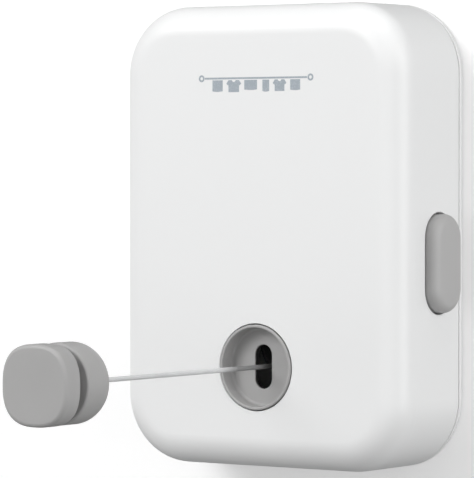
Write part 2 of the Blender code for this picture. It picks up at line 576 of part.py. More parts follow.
def make_ratchet(finish, drum_axis):
    """Square-cut teeth with sloping flanks, and a tooth gap where the pawl bites."""
    pitch = 2 * math.pi / RATCHET_TEETH
    root = RATCHET_RADIUS - TOOTH_HEIGHT
    outer, inner = [], []
    hole = SPRING_CUP_RADIUS + GAP
    for tooth in range(RATCHET_TEETH):
        middle = PAWL_ANGLE + (tooth + 0.5) * pitch
        for share, radius in ((-1 / 3, root), (-1 / 6, RATCHET_RADIUS), (1 / 6, RATCHET_RADIUS),
                              (1 / 3, root)):
            angle = middle + share * pitch
            outer.append((radius * math.cos(angle), radius * math.sin(angle)))
            inner.append((hole * math.cos(angle), hole * math.sin(angle)))
    low, high = SPRING_CUP_BACK, SPRING_CUP_BACK + RATCHET_THICKNESS
    piece("ratchet_ring", loft([(outer, low), (outer, high), (inner, high), (inner, low)], ring=True), finish,
          drum_axis)


def make_mainspring(finishes, drum_axis):
    bore = AXLE_RADIUS + 2 * GAP
    inside = SPRING_CUP_RADIUS - SPRING_CUP_WALL
    piece("spring_cup", turned([(bore, SPRING_CUP_BACK), (SPRING_CUP_RADIUS, SPRING_CUP_BACK),
                                (SPRING_CUP_RADIUS, SPRING_CUP_FRONT), (inside, SPRING_CUP_FRONT),
                                (inside, SPRING_BACK - GAP), (bore, SPRING_BACK - GAP)]), finishes["inner"],
          drum_axis)
    piece("spring_cover", ring(bore, SPRING_CUP_RADIUS - GAP, SPRING_CUP_FRONT + GAP, SPRING_COVER_FRONT),
          finishes["inner"], drum_axis)
    half = SPRING_STRIP / 2
    start, end = AXLE_RADIUS + GAP + half, inside - GAP - half
    steps = SPRING_TURNS * 18
    path = [(AXLE_RADIUS * 0.5, 0.0)]
    for step in range(steps + 1):
        radius = start + (end - start) * step / steps
        angle = 2 * math.pi * SPRING_TURNS * step / steps
        path.append((radius * math.cos(angle), radius * math.sin(angle)))
    left, right = [], []
    for here, (x, y) in enumerate(path):
        before, after = path[max(here - 1, 0)], path[min(here + 1, len(path) - 1)]
        along = (after[0] - before[0], after[1] - before[1])
        length = math.hypot(*along)
        side = (-along[1] / length * half, along[0] / length * half)
        left.append((x + side[0], y + side[1]))
        right.append((x - side[0], y - side[1]))
    strip = bmesh.new()
    rows = [[strip.verts.new((x, y, depth)) for depth in (SPRING_BACK, SPRING_FRONT) for x, y in (a, b)]
            for a, b in zip(left, right)]
    for low, high in zip(rows, rows[1:]):
        for here, after in ((0, 1), (1, 3), (3, 2), (2, 0)):
            strip.faces.new((low[here], low[after], high[after], high[here]))
    for end_row in (rows[0], rows[-1]):
        strip.faces.new([end_row[corner] for corner in (0, 1, 3, 2)])
    piece("mainspring", strip, finishes["steel"], drum_axis)


# ---- The lock ----
def helix(name, radius, wire, turns, length, finish, parent, location, rotation=(0, 0, 0)):
    """A coil spring along z: a curve tube with filled ends."""
    steps = turns * 10
    curve = bpy.data.curves.new(name, "CURVE")
    curve.dimensions = "3D"
    curve.bevel_depth = wire
    curve.bevel_resolution = 0
    curve.use_fill_caps = True
    spline = curve.splines.new("POLY")
    spline.points.add(steps)
    for step, point in enumerate(spline.points):
        angle = 2 * math.pi * turns * step / steps
        point.co = (radius * math.cos(angle), radius * math.sin(angle), length * step / steps, 1.0)
    curve.materials.append(finish)
    made = bpy.data.objects.new(name, curve)
    bpy.context.scene.collection.objects.link(made)
    made.parent = parent
    made.location = location
    made.rotation_euler = rotation
    return made


def make_lock_button(finishes, wall):
    middle = (BUTTON_FOOT, BUTTON_MIDDLE_HEIGHT, BUTTON_MIDDLE_DEPTH)
    side = frame("button_frame", middle, (0, math.pi / 2, 0), wall)
    length = WIDTH / 2 + BUTTON_PROUD - BUTTON_FOOT
    loops = [(rounded(BUTTON_WIDTH, BUTTON_HEIGHT, BUTTON_WIDTH / 2 - 1e-5), 0)]
    for step in range(4):
        angle = math.pi / 2 * step / 3
        inset = BUTTON_EDGE * (1 - math.cos(angle))
        outline = rounded(BUTTON_WIDTH - 2 * inset, BUTTON_HEIGHT - 2 * inset,
                          BUTTON_WIDTH / 2 - inset - 1e-5)
        loops.append((outline, length - BUTTON_EDGE + BUTTON_EDGE * math.sin(angle)))
    button = piece("lock_button", loft(loops), finishes["grey"], side)
    to_cover = BUTTON_MIDDLE_DEPTH - COVER_FRONT - GAP
    to_pin = PAWL_BACK - PIN_HEAD - 3 * GAP - BUTTON_MIDDLE_DEPTH
    half = BUTTON_HEIGHT / 2 + BUTTON_FLANGE_LIP
    add(button, "button_flange", box((-to_pin, -half, -BUTTON_FLANGE), (to_cover, half, GAP / 2)))
    pusher = BUTTON_FOOT - PAWL_X - pawl_heel_corner()[0] - GAP
    pusher_front = BUTTON_MIDDLE_DEPTH - PAWL_BACK - PUSHER_LAP
    add(button, "button_pusher", box((pusher_front, -PUSHER_HEIGHT, -pusher),
                                     (pusher_front + PUSHER_WIDTH, 0, GAP / 2)))
    room = BUTTON_FOOT - BUTTON_FLANGE - SPRING_SEAT_X
    foot = (SPRING_SEAT_X + GAP + COIL_WIRE, SPRING_SEAT_TOP - SPRING_SEAT_WIDTH / 2,
            (COVER_FRONT + BUTTON_MIDDLE_DEPTH) / 2)
    helix("button_spring", COIL_RADIUS, COIL_WIRE, COIL_TURNS, room - 2 * GAP - 2 * COIL_WIRE,
          finishes["steel"], wall, foot, (0, math.pi / 2, 0))


def pawl_point(along, outward):
    """A point of the pawl, from its pivot: along its bar towards the tip, and away from the drum."""
    radial = (math.cos(PAWL_ANGLE), math.sin(PAWL_ANGLE))
    back = (math.sin(PAWL_ANGLE), -math.cos(PAWL_ANGLE))
    return (radial[0] * outward + back[0] * along, radial[1] * outward + back[1] * along)


def pawl_heel_corner():
    """The corner of the pawl's heel that the button pushes."""
    return pawl_point(PAWL_LENGTH - PAWL_HEEL_WIDTH / 2, PAWL_BAR / 2 + PAWL_HEEL)


def make_pawl(finishes, wall):
    pivot = frame("pawl_frame", (PAWL_X, PAWL_HEIGHT, 0), (0, 0, 0), wall)
    half = PAWL_BAR / 2
    eye = [(PAWL_EYE_RADIUS * math.cos(a), PAWL_EYE_RADIUS * math.sin(a))
           for a in [math.radians(45 + 270 * step / 12) for step in range(13)]]
    tip = PAWL_LENGTH + PAWL_TIP_LEAD
    wide, narrow = PAWL_TIP_WIDTH / 2, PAWL_TIP_WIDTH / 2 - PAWL_TIP_TAPER
    end = tip + wide + GAP
    outline = [pawl_point(*point) for point in (
        (end, half), (end, -half), (tip + wide, -half), (tip + narrow, -half - PAWL_TIP),
        (tip - narrow, -half - PAWL_TIP), (tip - wide, -half))]
    eye_part = [pawl_point(x, y) for x, y in reversed(eye)]
    heel = [pawl_point(PAWL_LENGTH - PAWL_HEEL_WIDTH, half), pawl_heel_corner(),
            pawl_point(PAWL_LENGTH + PAWL_HEEL_WIDTH / 2, half + PAWL_HEEL)]
    points = outline + eye_part + heel
    pawl = piece("pawl", prism(points, PAWL_BACK, PAWL_FRONT), finishes["steel"], pivot)
    cut(pawl, "pawl_bore", rod(PIN_RADIUS + GAP, PAWL_BACK - 0.001, PAWL_FRONT + 0.001))
    head = PAWL_BACK - GAP
    collar, far = PIN_RADIUS + COLLAR, SHELL_FRONT_INSIDE - 4 * GAP
    pin = turned([(0, head - PIN_HEAD), (collar, head - PIN_HEAD), (collar, head), (PIN_RADIUS, head),
                  (PIN_RADIUS, far), (0, far)], SMALL_STEPS)
    piece("pawl_pin", pin, finishes["steel"], pivot)
    helix("pawl_spring", PIN_RADIUS + COLLAR, COIL_WIRE, 3, PAWL_SPRING_LENGTH, finishes["steel"], pivot,
          (0, 0, PAWL_FRONT + 2 * GAP))


# ---- The knob, on the line's axis ----
def make_knob(finishes, line_axis):
    bore = LINE_RADIUS + GAP
    curve = []
    for step in range(9):
        angle = math.acos(bore / DOME_RADIUS) * (1 - step / 8)
        curve.append((DOME_RADIUS * math.cos(angle), DOME_BACK + DOME_ROUND * (1 - math.sin(angle))))
    piece("pull_dome", turned(curve + [(DOME_RADIUS, DOME_FRONT), (bore, DOME_FRONT)], 32),
          finishes["grey"], line_axis)
    piece("pull_neck", ring(bore, NECK_RADIUS, DOME_FRONT + GAP, PLATE_BACK - GAP, 24), finishes["grey"],
          line_axis)
    loops = [(squircle(PLATE_SIZE, PLATE_POWER), PLATE_BACK)]
    for step in range(4):
        angle = math.pi / 2 * step / 3
        inset = PLATE_EDGE * (1 - math.cos(angle))
        loops.append((squircle(PLATE_SIZE - 2 * inset, PLATE_POWER),
                      PLATE_FRONT - PLATE_EDGE + PLATE_EDGE * math.sin(angle)))
    plate = piece("pull_plate", loft(loops), finishes["grey"], line_axis)
    recess_front = PLATE_BACK + FERRULE_LENGTH + 2 * GAP
    cut(plate, "knot_recess", rod(FERRULE_RADIUS + GAP, PLATE_BACK - 0.001, recess_front))
    piece("line_ferrule", rod(FERRULE_RADIUS, PLATE_BACK + GAP, PLATE_BACK + GAP + FERRULE_LENGTH),
          finishes["steel"], line_axis)


# ---- The line: off the drum, round the pulley, and straight out to the knob ----
def line_route():
    """Points of the line's middle in the wall frame, from the drum to the knob."""
    points = []
    for step in range(13):
        share = RUN_LENGTH - (RUN_LENGTH - PULLEY_RADIUS) * step / 13
        points.append((UP_THE_LINE[0] * share, EXIT_HEIGHT + UP_THE_LINE[1] * share, LINE_DEPTH))
    for step in range(9):
        turn = math.pi / 2 * step / 8
        along = PULLEY_RADIUS * (1 - math.sin(turn))
        points.append((UP_THE_LINE[0] * along, EXIT_HEIGHT + UP_THE_LINE[1] * along,
                       LINE_DEPTH + PULLEY_RADIUS * (1 - math.cos(turn))))
    start, end = LINE_DEPTH + PULLEY_RADIUS, PLATE_BACK
    for step in range(1, 37):
        points.append((0.0, EXIT_HEIGHT, start + (end - start) * step / 36))
    return points


def make_line(finish, wall):
    curve = bpy.data.curves.new("line", "CURVE")
    curve.dimensions = "3D"
    curve.bevel_depth = LINE_RADIUS
    curve.bevel_resolution = 2
    curve.use_fill_caps = True
    route = line_route()
    spline = curve.splines.new("POLY")
    spline.points.add(len(route) - 1)
    for point, place in zip(spline.points, route):
        point.co = (*place, 1.0)
    curve.materials.append(finish)
    made = bpy.data.objects.new("line", curve)
    bpy.context.scene.collection.objects.link(made)
    made.parent = wall
    return made


def main():
    for old in list(bpy.data.objects):
        bpy.data.objects.remove(old, do_unlink=True)
    finishes = {
        "white": material("white_abs", (0.86, 0.87, 0.87), 0.28),
        "grey": material("grey_abs", (0.38, 0.38, 0.385), 0.45),
        "inner": material("inner_plastic", (0.045, 0.045, 0.048), 0.5),
        "acetal": material("acetal", (0.05, 0.05, 0.052), 0.35),
        "steel": material("steel", (0.62, 0.62, 0.63), 0.3, 1.0),
        "line": material("line_cord", (0.78, 0.78, 0.78), 0.6),
    }
    wall = frame("wall_frame", rotation=(math.pi / 2, 0, 0))
    drum_axis = frame("drum_frame", (DRUM_X, DRUM_HEIGHT, 0), parent=wall)
    line_axis = frame("line_frame", (0, EXIT_HEIGHT, 0), parent=wall)
    make_wall_bracket(finishes["steel"], wall)
    make_rear_cover(finishes["white"], wall)
    make_front_shell(finishes["white"], wall)
    make_case_screws(finishes["steel"], wall)
    make_outlet_cup(finishes["grey"], wall)
    make_cup_screws(finishes["steel"], wall)
    make_pulley(finishes, wall)
    make_axle(finishes["steel"], drum_axis)
    make_drum(finishes, drum_axis)
    make_ratchet(finishes["inner"], drum_axis)
    make_mainspring(finishes, drum_axis)
    make_lock_button(finishes, wall)
    make_pawl(finishes, wall)
    make_knob(finishes, line_axis)
    make_line(finishes["line"], wall)


main()
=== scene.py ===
"""The looks of a retractable clothesline: a wall case, a knob on its line, and the works inside.

Shapes are drawn in wall terms, in metres: x to the right, up, and depth, which is the distance from
the wall. A piece is turned into the frame's own axes (X to the right, Z up, -Y out of the wall) when
it is finished, so that its object sits at the origin and its place is in its mesh.
"""
import json
import math

import bmesh
import bpy
from bpy.props import FloatProperty, FloatVectorProperty, IntProperty, PointerProperty
from mathutils import Matrix, Vector


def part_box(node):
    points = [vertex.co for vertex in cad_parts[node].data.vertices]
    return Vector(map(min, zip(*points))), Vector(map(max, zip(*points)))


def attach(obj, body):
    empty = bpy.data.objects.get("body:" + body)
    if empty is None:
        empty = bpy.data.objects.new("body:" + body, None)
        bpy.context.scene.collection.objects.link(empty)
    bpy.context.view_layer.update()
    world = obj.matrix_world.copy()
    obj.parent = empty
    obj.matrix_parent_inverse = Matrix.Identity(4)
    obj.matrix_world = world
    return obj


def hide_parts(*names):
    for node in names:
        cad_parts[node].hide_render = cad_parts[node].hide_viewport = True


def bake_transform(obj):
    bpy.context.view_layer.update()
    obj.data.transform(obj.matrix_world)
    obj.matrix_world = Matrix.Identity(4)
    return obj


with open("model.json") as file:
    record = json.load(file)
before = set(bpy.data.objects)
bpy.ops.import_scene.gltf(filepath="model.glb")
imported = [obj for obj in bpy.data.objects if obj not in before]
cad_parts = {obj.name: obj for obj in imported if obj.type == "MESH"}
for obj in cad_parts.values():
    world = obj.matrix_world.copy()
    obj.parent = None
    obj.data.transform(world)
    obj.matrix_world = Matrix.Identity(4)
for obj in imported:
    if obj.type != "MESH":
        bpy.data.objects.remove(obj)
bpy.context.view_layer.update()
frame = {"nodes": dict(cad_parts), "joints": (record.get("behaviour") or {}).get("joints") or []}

bl_info = {
    "name": "Retractable Clothesline",
    "version": (1, 0, 0),
    "blender": (4, 5, 0),
    "location": "3D View > Sidebar > Clothesline",
    "description": "Builds the pieces, finishes and stage of a wall-mounted retractable clothesline",
    "category": "Add Mesh",
}

MM = 0.001
TO_ROW = Matrix(((1, 0, 0, 0), (0, 0, -1, 0), (0, 1, 0, 0), (0, 0, 0, 1)))
GAP = 0.3 * MM              # between pieces that rest on each other or turn in each other
EASE = 0.3 * MM             # a support loop's distance from the start of a rounding


class Place:
    """Where one or more CAD nodes are, in wall terms."""

    def __init__(self, *nodes):
        lows, highs = zip(*(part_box(node) for node in nodes))
        self.left, self.right = min(low.x for low in lows), max(high.x for high in highs)
        self.bottom, self.top = min(low.z for low in lows), max(high.z for high in highs)
        self.back, self.front = -max(high.y for high in highs), -min(low.y for low in lows)
        self.x, self.up = (self.left + self.right) / 2, (self.bottom + self.top) / 2
        self.width, self.height = self.right - self.left, self.top - self.bottom
        self.middle = (self.back + self.front) / 2


SHELL = Place("front_shell")
COVER = Place("rear_cover")
BRACKET = Place("wall_bracket")
CUP = Place("outlet_cup")
BUTTON = Place("lock_button")
PLATE = Place("pull_plate")
NECK = Place("pull_neck")
DOME = Place("pull_dome")
JOINTS = {joint["name"]: joint for joint in frame["joints"]}
DRUM_AXIS = (JOINTS["drum_spin"]["pos_m"][0], JOINTS["drum_spin"]["pos_m"][2])
LINE_DEPTH = -JOINTS["drum_spin"]["pos_m"][1]
PULLEY_X, PULLEY_UP = JOINTS["pulley_spin"]["pos_m"][0], JOINTS["pulley_spin"]["pos_m"][2]
PULLEY_DEPTH = -JOINTS["pulley_spin"]["pos_m"][1]
PULLEY_AXIS = JOINTS["pulley_spin"]["axis"]
LEAN = math.atan2(-PULLEY_AXIS[2], -PULLEY_AXIS[0])
EXIT_UP = DOME.up

WALL = 2.2 * MM
COVER_FLOOR_BACK = 2.3 * MM
COVER_FRONT = COVER_FLOOR_BACK + WALL
SCREW_HOLE = 1.3 * MM       # radius
CUP_RADIUS = 11.6 * MM
CUP_DEPTH = 4.2 * MM        # rim down to the floor
CUP_BOSS = 3 * MM           # height of the shell's bosses for the cup's screws
BUTTON_WIDTH, BUTTON_HEIGHT = 13.2 * MM, 26.5 * MM
BUTTON_DEPTH, BUTTON_UP = 12.15 * MM, -7.0 * MM
SIDEWAYS = Matrix.Rotation(math.pi / 2, 4, "Y")
BUTTON_PLACE = Matrix.Translation((SHELL.right, BUTTON_UP, BUTTON_DEPTH)) @ SIDEWAYS
PUSHER_HEIGHT, PUSHER_WIDTH, PUSHER_LAP = 6.4 * MM, 4 * MM, 1.3 * MM
HOOK_WIDTH, HOOK_STEM, HOOK_LIP, HOOK_LIP_THICKNESS = 7 * MM, 2 * MM, 3.5 * MM, 1.4 * MM


# ---- Sizes and colours that a user would change ----
def length(name, description, default, **more):
    return FloatProperty(name=name, description=description, default=default, min=0.0, precision=5,
                         subtype="DISTANCE", unit="LENGTH", **more)


def colour(name, description, default):
    return FloatVectorProperty(name=name, description=description, default=default, size=3, min=0.0,
                               max=1.0, subtype="COLOR")


def amount(name, description, default, **more):
    return FloatProperty(name=name, description=description, default=default, min=0.0, **more)


class CaseSettings(bpy.types.PropertyGroup):
    corner: length("Corner radius", "Radius of the case's corners, seen from the front", 19 * MM)
    edge: length("Front edge radius", "Radius of the soft edge round the front face", 8 * MM)
    wall: length("Wall", "Thickness of the front shell", WALL)
    pocket: length("Pocket margin", "From the rear cover's edge to its bracket pocket", 6 * MM)
    lip: length("Opening edge", "Rounding of the edges of the shell's openings", 0.18 * MM)
    mark_width: length("Mark width", "Width of the printed washing-line mark", 37.8 * MM)
    mark_height: length("Mark height", "Height of the printed washing-line mark", 4.7 * MM)
    mark_up: length("Mark place", "Height of the mark's middle above the case's middle", 41.5 * MM)


class KnobSettings(bpy.types.PropertyGroup):
    plate_power: amount("Plate squareness", "2 gives a round plate, and more squares it up", 2.6)
    plate_edge: length("Plate edge", "Rounding of the front plate's edge", 1.1 * MM)
    dome_rim: length("Dome rim", "Straight stretch of the dome next to the groove", 6.4 * MM)
    neck_fillet: length("Neck fillet", "Rounding where the neck meets its ends", 0.5 * MM)


class LineSettings(bpy.types.PropertyGroup):
    diameter: length("Line diameter", "Diameter of the coated line", 1.3 * MM)
    sides: IntProperty(name="Sides", description="Faces round the line", default=14, min=6)
    turns: amount("Turns a layer", "Turns of line side by side in one layer on the drum", 6.0)


class FinishSettings(bpy.types.PropertyGroup):
    case: colour("Case", "Colour of the white housing", (0.86, 0.865, 0.865))
    grey: colour("Grey parts", "Colour of the knob, outlet cup and button", (0.395, 0.392, 0.39))
    # The button's colour is the grey parts' colour made lighter: painted light, for the dimmer light on the
    # case's side.
    button: colour("Button", "Colour of the lock button", (0.455, 0.452, 0.45))
    inner: colour("Inner parts", "Colour of the black mouldings inside", (0.045, 0.045, 0.048))
    acetal: colour("Acetal", "Colour of the pulley and bushes", (0.05, 0.05, 0.052))
    line: colour("Line", "Colour of the line's coating", (0.74, 0.745, 0.75))
    ink: colour("Ink", "Colour of the printed mark", (0.355, 0.40, 0.445))
    zinc: colour("Zinc plate", "Colour of the plated steel", (0.62, 0.62, 0.63))
    spring: colour("Spring steel", "Colour of the blued springs", (0.30, 0.31, 0.35))


class StageSettings(bpy.types.PropertyGroup):
    azimuth: FloatProperty(name="Azimuth", description="Camera's angle round the case, to its right",
                           default=math.radians(35.254), subtype="ANGLE", unit="ROTATION")
    elevation: FloatProperty(name="Elevation", description="Camera's angle above the horizon",
                             default=math.radians(1.288), subtype="ANGLE", unit="ROTATION")
    position: FloatVectorProperty(name="Camera place", description="Where the camera stands", size=3,
                                  default=(0.54185, -0.80676, 0.02057), subtype="TRANSLATION",
                                  unit="LENGTH")
    lens: amount("Lens", "Focal length as a share of the frame's long side", 7.3079498)
    floor_drop: length("Floor", "How far the floor lies below the case's middle", 1.5)
    wall_glow: amount("Wall glow", "How much the white wall glows by itself", 0.23)
    floor_glow: amount("Floor glow", "How much the pale floor glows by itself", 0.7)
    sky: amount("Sky", "Brightness of the surroundings, from above", 0.146)
    horizon: amount("Horizon", "Brightness of the surroundings, at eye level and a little below", 1.13)
    ground: amount("Ground", "Brightness of the surroundings, from below", 0.27)
    key: amount("Key light", "Power of the large soft light at the front left, in watts", 17.5)
    side: amount("Side light", "Power of the tall soft light at the right, in watts", 10.8)
    top: amount("Top light", "Power of the soft light overhead, in watts", 6.2)
    front: amount("Front light", "Power of the weak light beside the camera, in watts", 0.76)


# ---- Outlines and profiles ----
def circle(radius, steps, centre=(0, 0)):
    turns = [2 * math.pi * step / steps for step in range(steps)]
    return [(centre[0] + radius * math.cos(a), centre[1] + radius * math.sin(a)) for a in turns]


def rounded(width, height, radius, steps=18, ease=0.0):
    """A rounded rectangle about the origin, with support points beside each corner's arc."""
    points = []
    for corner, (side_x, side_y) in enumerate(((1, 1), (-1, 1), (-1, -1), (1, -1))):
        centre = (side_x * (width / 2 - radius), side_y * (height / 2 - radius))
        arc = []
        for step in range(steps + 1):
            angle = math.pi / 2 * (corner + step / steps)
            arc.append((centre[0] + radius * math.cos(angle), centre[1] + radius * math.sin(angle)))
        if ease:
            start, end = math.pi / 2 * corner, math.pi / 2 * (corner + 1)
            before = (arc[0][0] + ease * math.sin(start), arc[0][1] - ease * math.cos(start))
            after = (arc[-1][0] - ease * math.sin(end), arc[-1][1] + ease * math.cos(end))
            arc = [before, *arc, after]
        points += arc
    return points


def squircle(size, power, steps=96):
    """A square about the origin whose sides bulge a little."""
    points = []
    for x, up in circle(1.0, steps):
        reach = size / 2 / (abs(x) ** power + abs(up) ** power) ** (1 / power)
        points.append((x * reach, up * reach))
    return points


def softened(corners, steps=5, closed=True):
    """A profile through (a, b, radius) corners, with an arc of that radius at each corner."""
    points = []
    last = len(corners) - 1
    for here, (a, b, radius) in enumerate(corners):
        if radius <= 0 or (not closed and here in (0, last)):
            points.append((a, b))
            continue
        middle = Vector((a, b))
        to_last = (Vector(corners[here - 1][:2]) - middle).normalized()
        to_next = (Vector(corners[(here + 1) % len(corners)][:2]) - middle).normalized()
        half = to_last.angle(to_next) / 2
        reach = radius / math.tan(half)
        centre = middle + (to_last + to_next).normalized() * (radius / math.sin(half))
        start, end = middle + to_last * reach - centre, middle + to_next * reach - centre
        sweep = start.angle_signed(end)
        for step in range(steps + 1):
            turn = -sweep * step / steps
            turned_to = Vector((start.x * math.cos(turn) - start.y * math.sin(turn),
                                start.x * math.sin(turn) + start.y * math.cos(turn)))
            points.append(tuple(centre + turned_to))
    return points


# ---- Shapes, in wall terms ----
def loft(rings, ring=False):
    """Skins rings of (x, up, depth) points; a ring joins its ends, else caps close it."""
    skin = bmesh.new()
    rows = [[skin.verts.new(point) for point in points] for points in rings]
    for low, high in list(zip(rows, rows[1:])) + ([(rows[-1], rows[0])] if ring else []):
        for here in range(len(low)):
            after = (here + 1) % len(low)
            skin.faces.new((low[here], low[after], high[after], high[here]))
    if not ring:
        skin.faces.new(rows[0])
        skin.faces.new(rows[-1])
    return closed(skin)


def closed(shape):
    bmesh.ops.remove_doubles(shape, verts=shape.verts, dist=1e-7)
    bmesh.ops.recalc_face_normals(shape, faces=shape.faces)
    return shape


def moulded(outline, profile, ring=False):
    """A body whose outline is inset along a profile of (inset, depth) points."""
    return loft([[(x, up, depth) for x, up in outline(inset)] for inset, depth in profile], ring)


def prism(points, low, high):
    return loft([[(x, up, low) for x, up in points], [(x, up, high) for x, up in points]])


def box(low, high):
    (left, bottom, back), (right, top, front) = low, high
    return prism([(left, bottom), (right, bottom), (right, top), (left, top)], back, front)


def turned(profile, steps=72, centre=(0, 0)):
    """Spins a closed profile of (radius, depth) points about an axis out of the wall."""
    shape = bmesh.new()
    rows = []
    for radius, depth in profile:
        if radius < 1e-7:
            rows.append([shape.verts.new((*centre, depth))] * steps)
        else:
            rows.append([shape.verts.new((x, up, depth)) for x, up in circle(radius, steps, centre)])
    for low, high in zip(rows, rows[1:] + rows[:1]):
        for here in range(steps):
            after = (here + 1) % steps
            corners = []
            for vert in (low[here], low[after], high[after], high[here]):
                if vert not in corners:
                    corners.append(vert)
            if len(corners) > 2:
                shape.faces.new(corners)
    return closed(shape)


def rod(radius, low, high, steps=32, centre=(0, 0)):
    return turned([(0, low), (radius, low), (radius, high), (0, high)], steps, centre)


def pipe(inner, outer, low, high, steps=32, centre=(0, 0)):
    return turned([(inner, low), (outer, low), (outer, high), (inner, high)], steps, centre)


def moved(shape, matrix):
    bmesh.ops.transform(shape, matrix=matrix, verts=shape.verts)
    return shape


def together(shapes):
    """One shape from several that don't touch."""
    whole = bmesh.new()
    for shape in shapes:
        part = bpy.data.meshes.new("part")
        shape.to_mesh(part)
        shape.free()
        whole.from_mesh(part)
        bpy.data.meshes.remove(part)
    return whole


# ---- From a shape to a finished piece ----
def link(name, mesh):
    made = bpy.data.objects.new(name, mesh)
    bpy.context.scene.collection.objects.link(made)
    return made


def drop(obj):
    mesh = obj.data
    bpy.data.objects.remove(obj)
    bpy.data.meshes.remove(mesh)


def rough_object(name, shape):
    mesh = bpy.data.meshes.new(name)
    shape.to_mesh(mesh)
    shape.free()
    return link(name, mesh)


def baked(obj, name):
    """The plain mesh of an object with its modifiers, which are then gone with it."""
    view_layer = bpy.context.view_layer
    view_layer.update()
    mesh = bpy.data.meshes.new_from_object(obj.evaluated_get(view_layer.depsgraph))
    mesh.name = name
    drop(obj)
    return mesh


def carved(shape, cuts=(), joins=()):
    """The shape with others cut away from it or joined to it, as one closed body."""
    target = rough_object("carving", shape)
    tools = [(rough_object("tool", tool), "UNION") for tool in joins]
    tools += [(rough_object("tool", tool), "DIFFERENCE") for tool in cuts]
    for tool, operation in tools:
        step = target.modifiers.new("carve", "BOOLEAN")
        step.object = tool
        step.operation = operation
        step.solver = "EXACT"
    mesh = baked(target, "carved")
    for tool, _ in tools:
        drop(tool)
    result = bmesh.new()
    result.from_mesh(mesh)
    bpy.data.meshes.remove(mesh)
    bmesh.ops.remove_doubles(result, verts=result.verts, dist=2e-7)
    bmesh.ops.dissolve_degenerate(result, edges=result.edges, dist=1e-7)
    return result


def piece(name, shape, finish, body, slot_name, *nodes, sharp=38, place=TO_ROW):
    """A finished piece that rides on a body and stands for the named CAD nodes."""
    shape.transform(place)
    obj = rough_object(name + "_rough", shape)
    obj.data.shade_smooth()
    obj.data.set_sharp_from_angle(angle=math.radians(sharp))
    weighted = obj.modifiers.new("weighted", "WEIGHTED_NORMAL")
    weighted.mode = "FACE_AREA"
    weighted.keep_sharp = True
    mesh = baked(obj, name)
    mesh.materials.clear()
    mesh.materials.append(finish)
    made = link(name, mesh)
    return settle(made, body, slot_name, *nodes)


def settle(made, body, slot_name, *nodes):
    """The body is a name; given two names and two points instead, the piece is put on no body and its place
    is baked into its mesh.
    """
    if isinstance(body, str):
        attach(made, body)
    else:
        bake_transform(made)
    if nodes:
        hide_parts(*nodes)
    return made


# ---- Shader trees: maths as expressions, and every other node from one method ----
class Value:
    """A number that varies over a surface; Python's operators on it add Math nodes."""

    def __init__(self, finish, socket):
        self.finish = finish
        self.socket = socket

    def _with(self, operation, first, second):
        made = self.finish.node("Math", {"operation": operation}, first, second)
        return Value(self.finish, made.outputs[0])

    def __add__(self, other):
        return self._with("ADD", self, other)

    def __sub__(self, other):
        return self._with("SUBTRACT", self, other)

    def __rsub__(self, other):
        return self._with("SUBTRACT", other, self)

    def __mul__(self, other):
        return self._with("MULTIPLY", self, other)

    __radd__ = __add__
    __rmul__ = __mul__


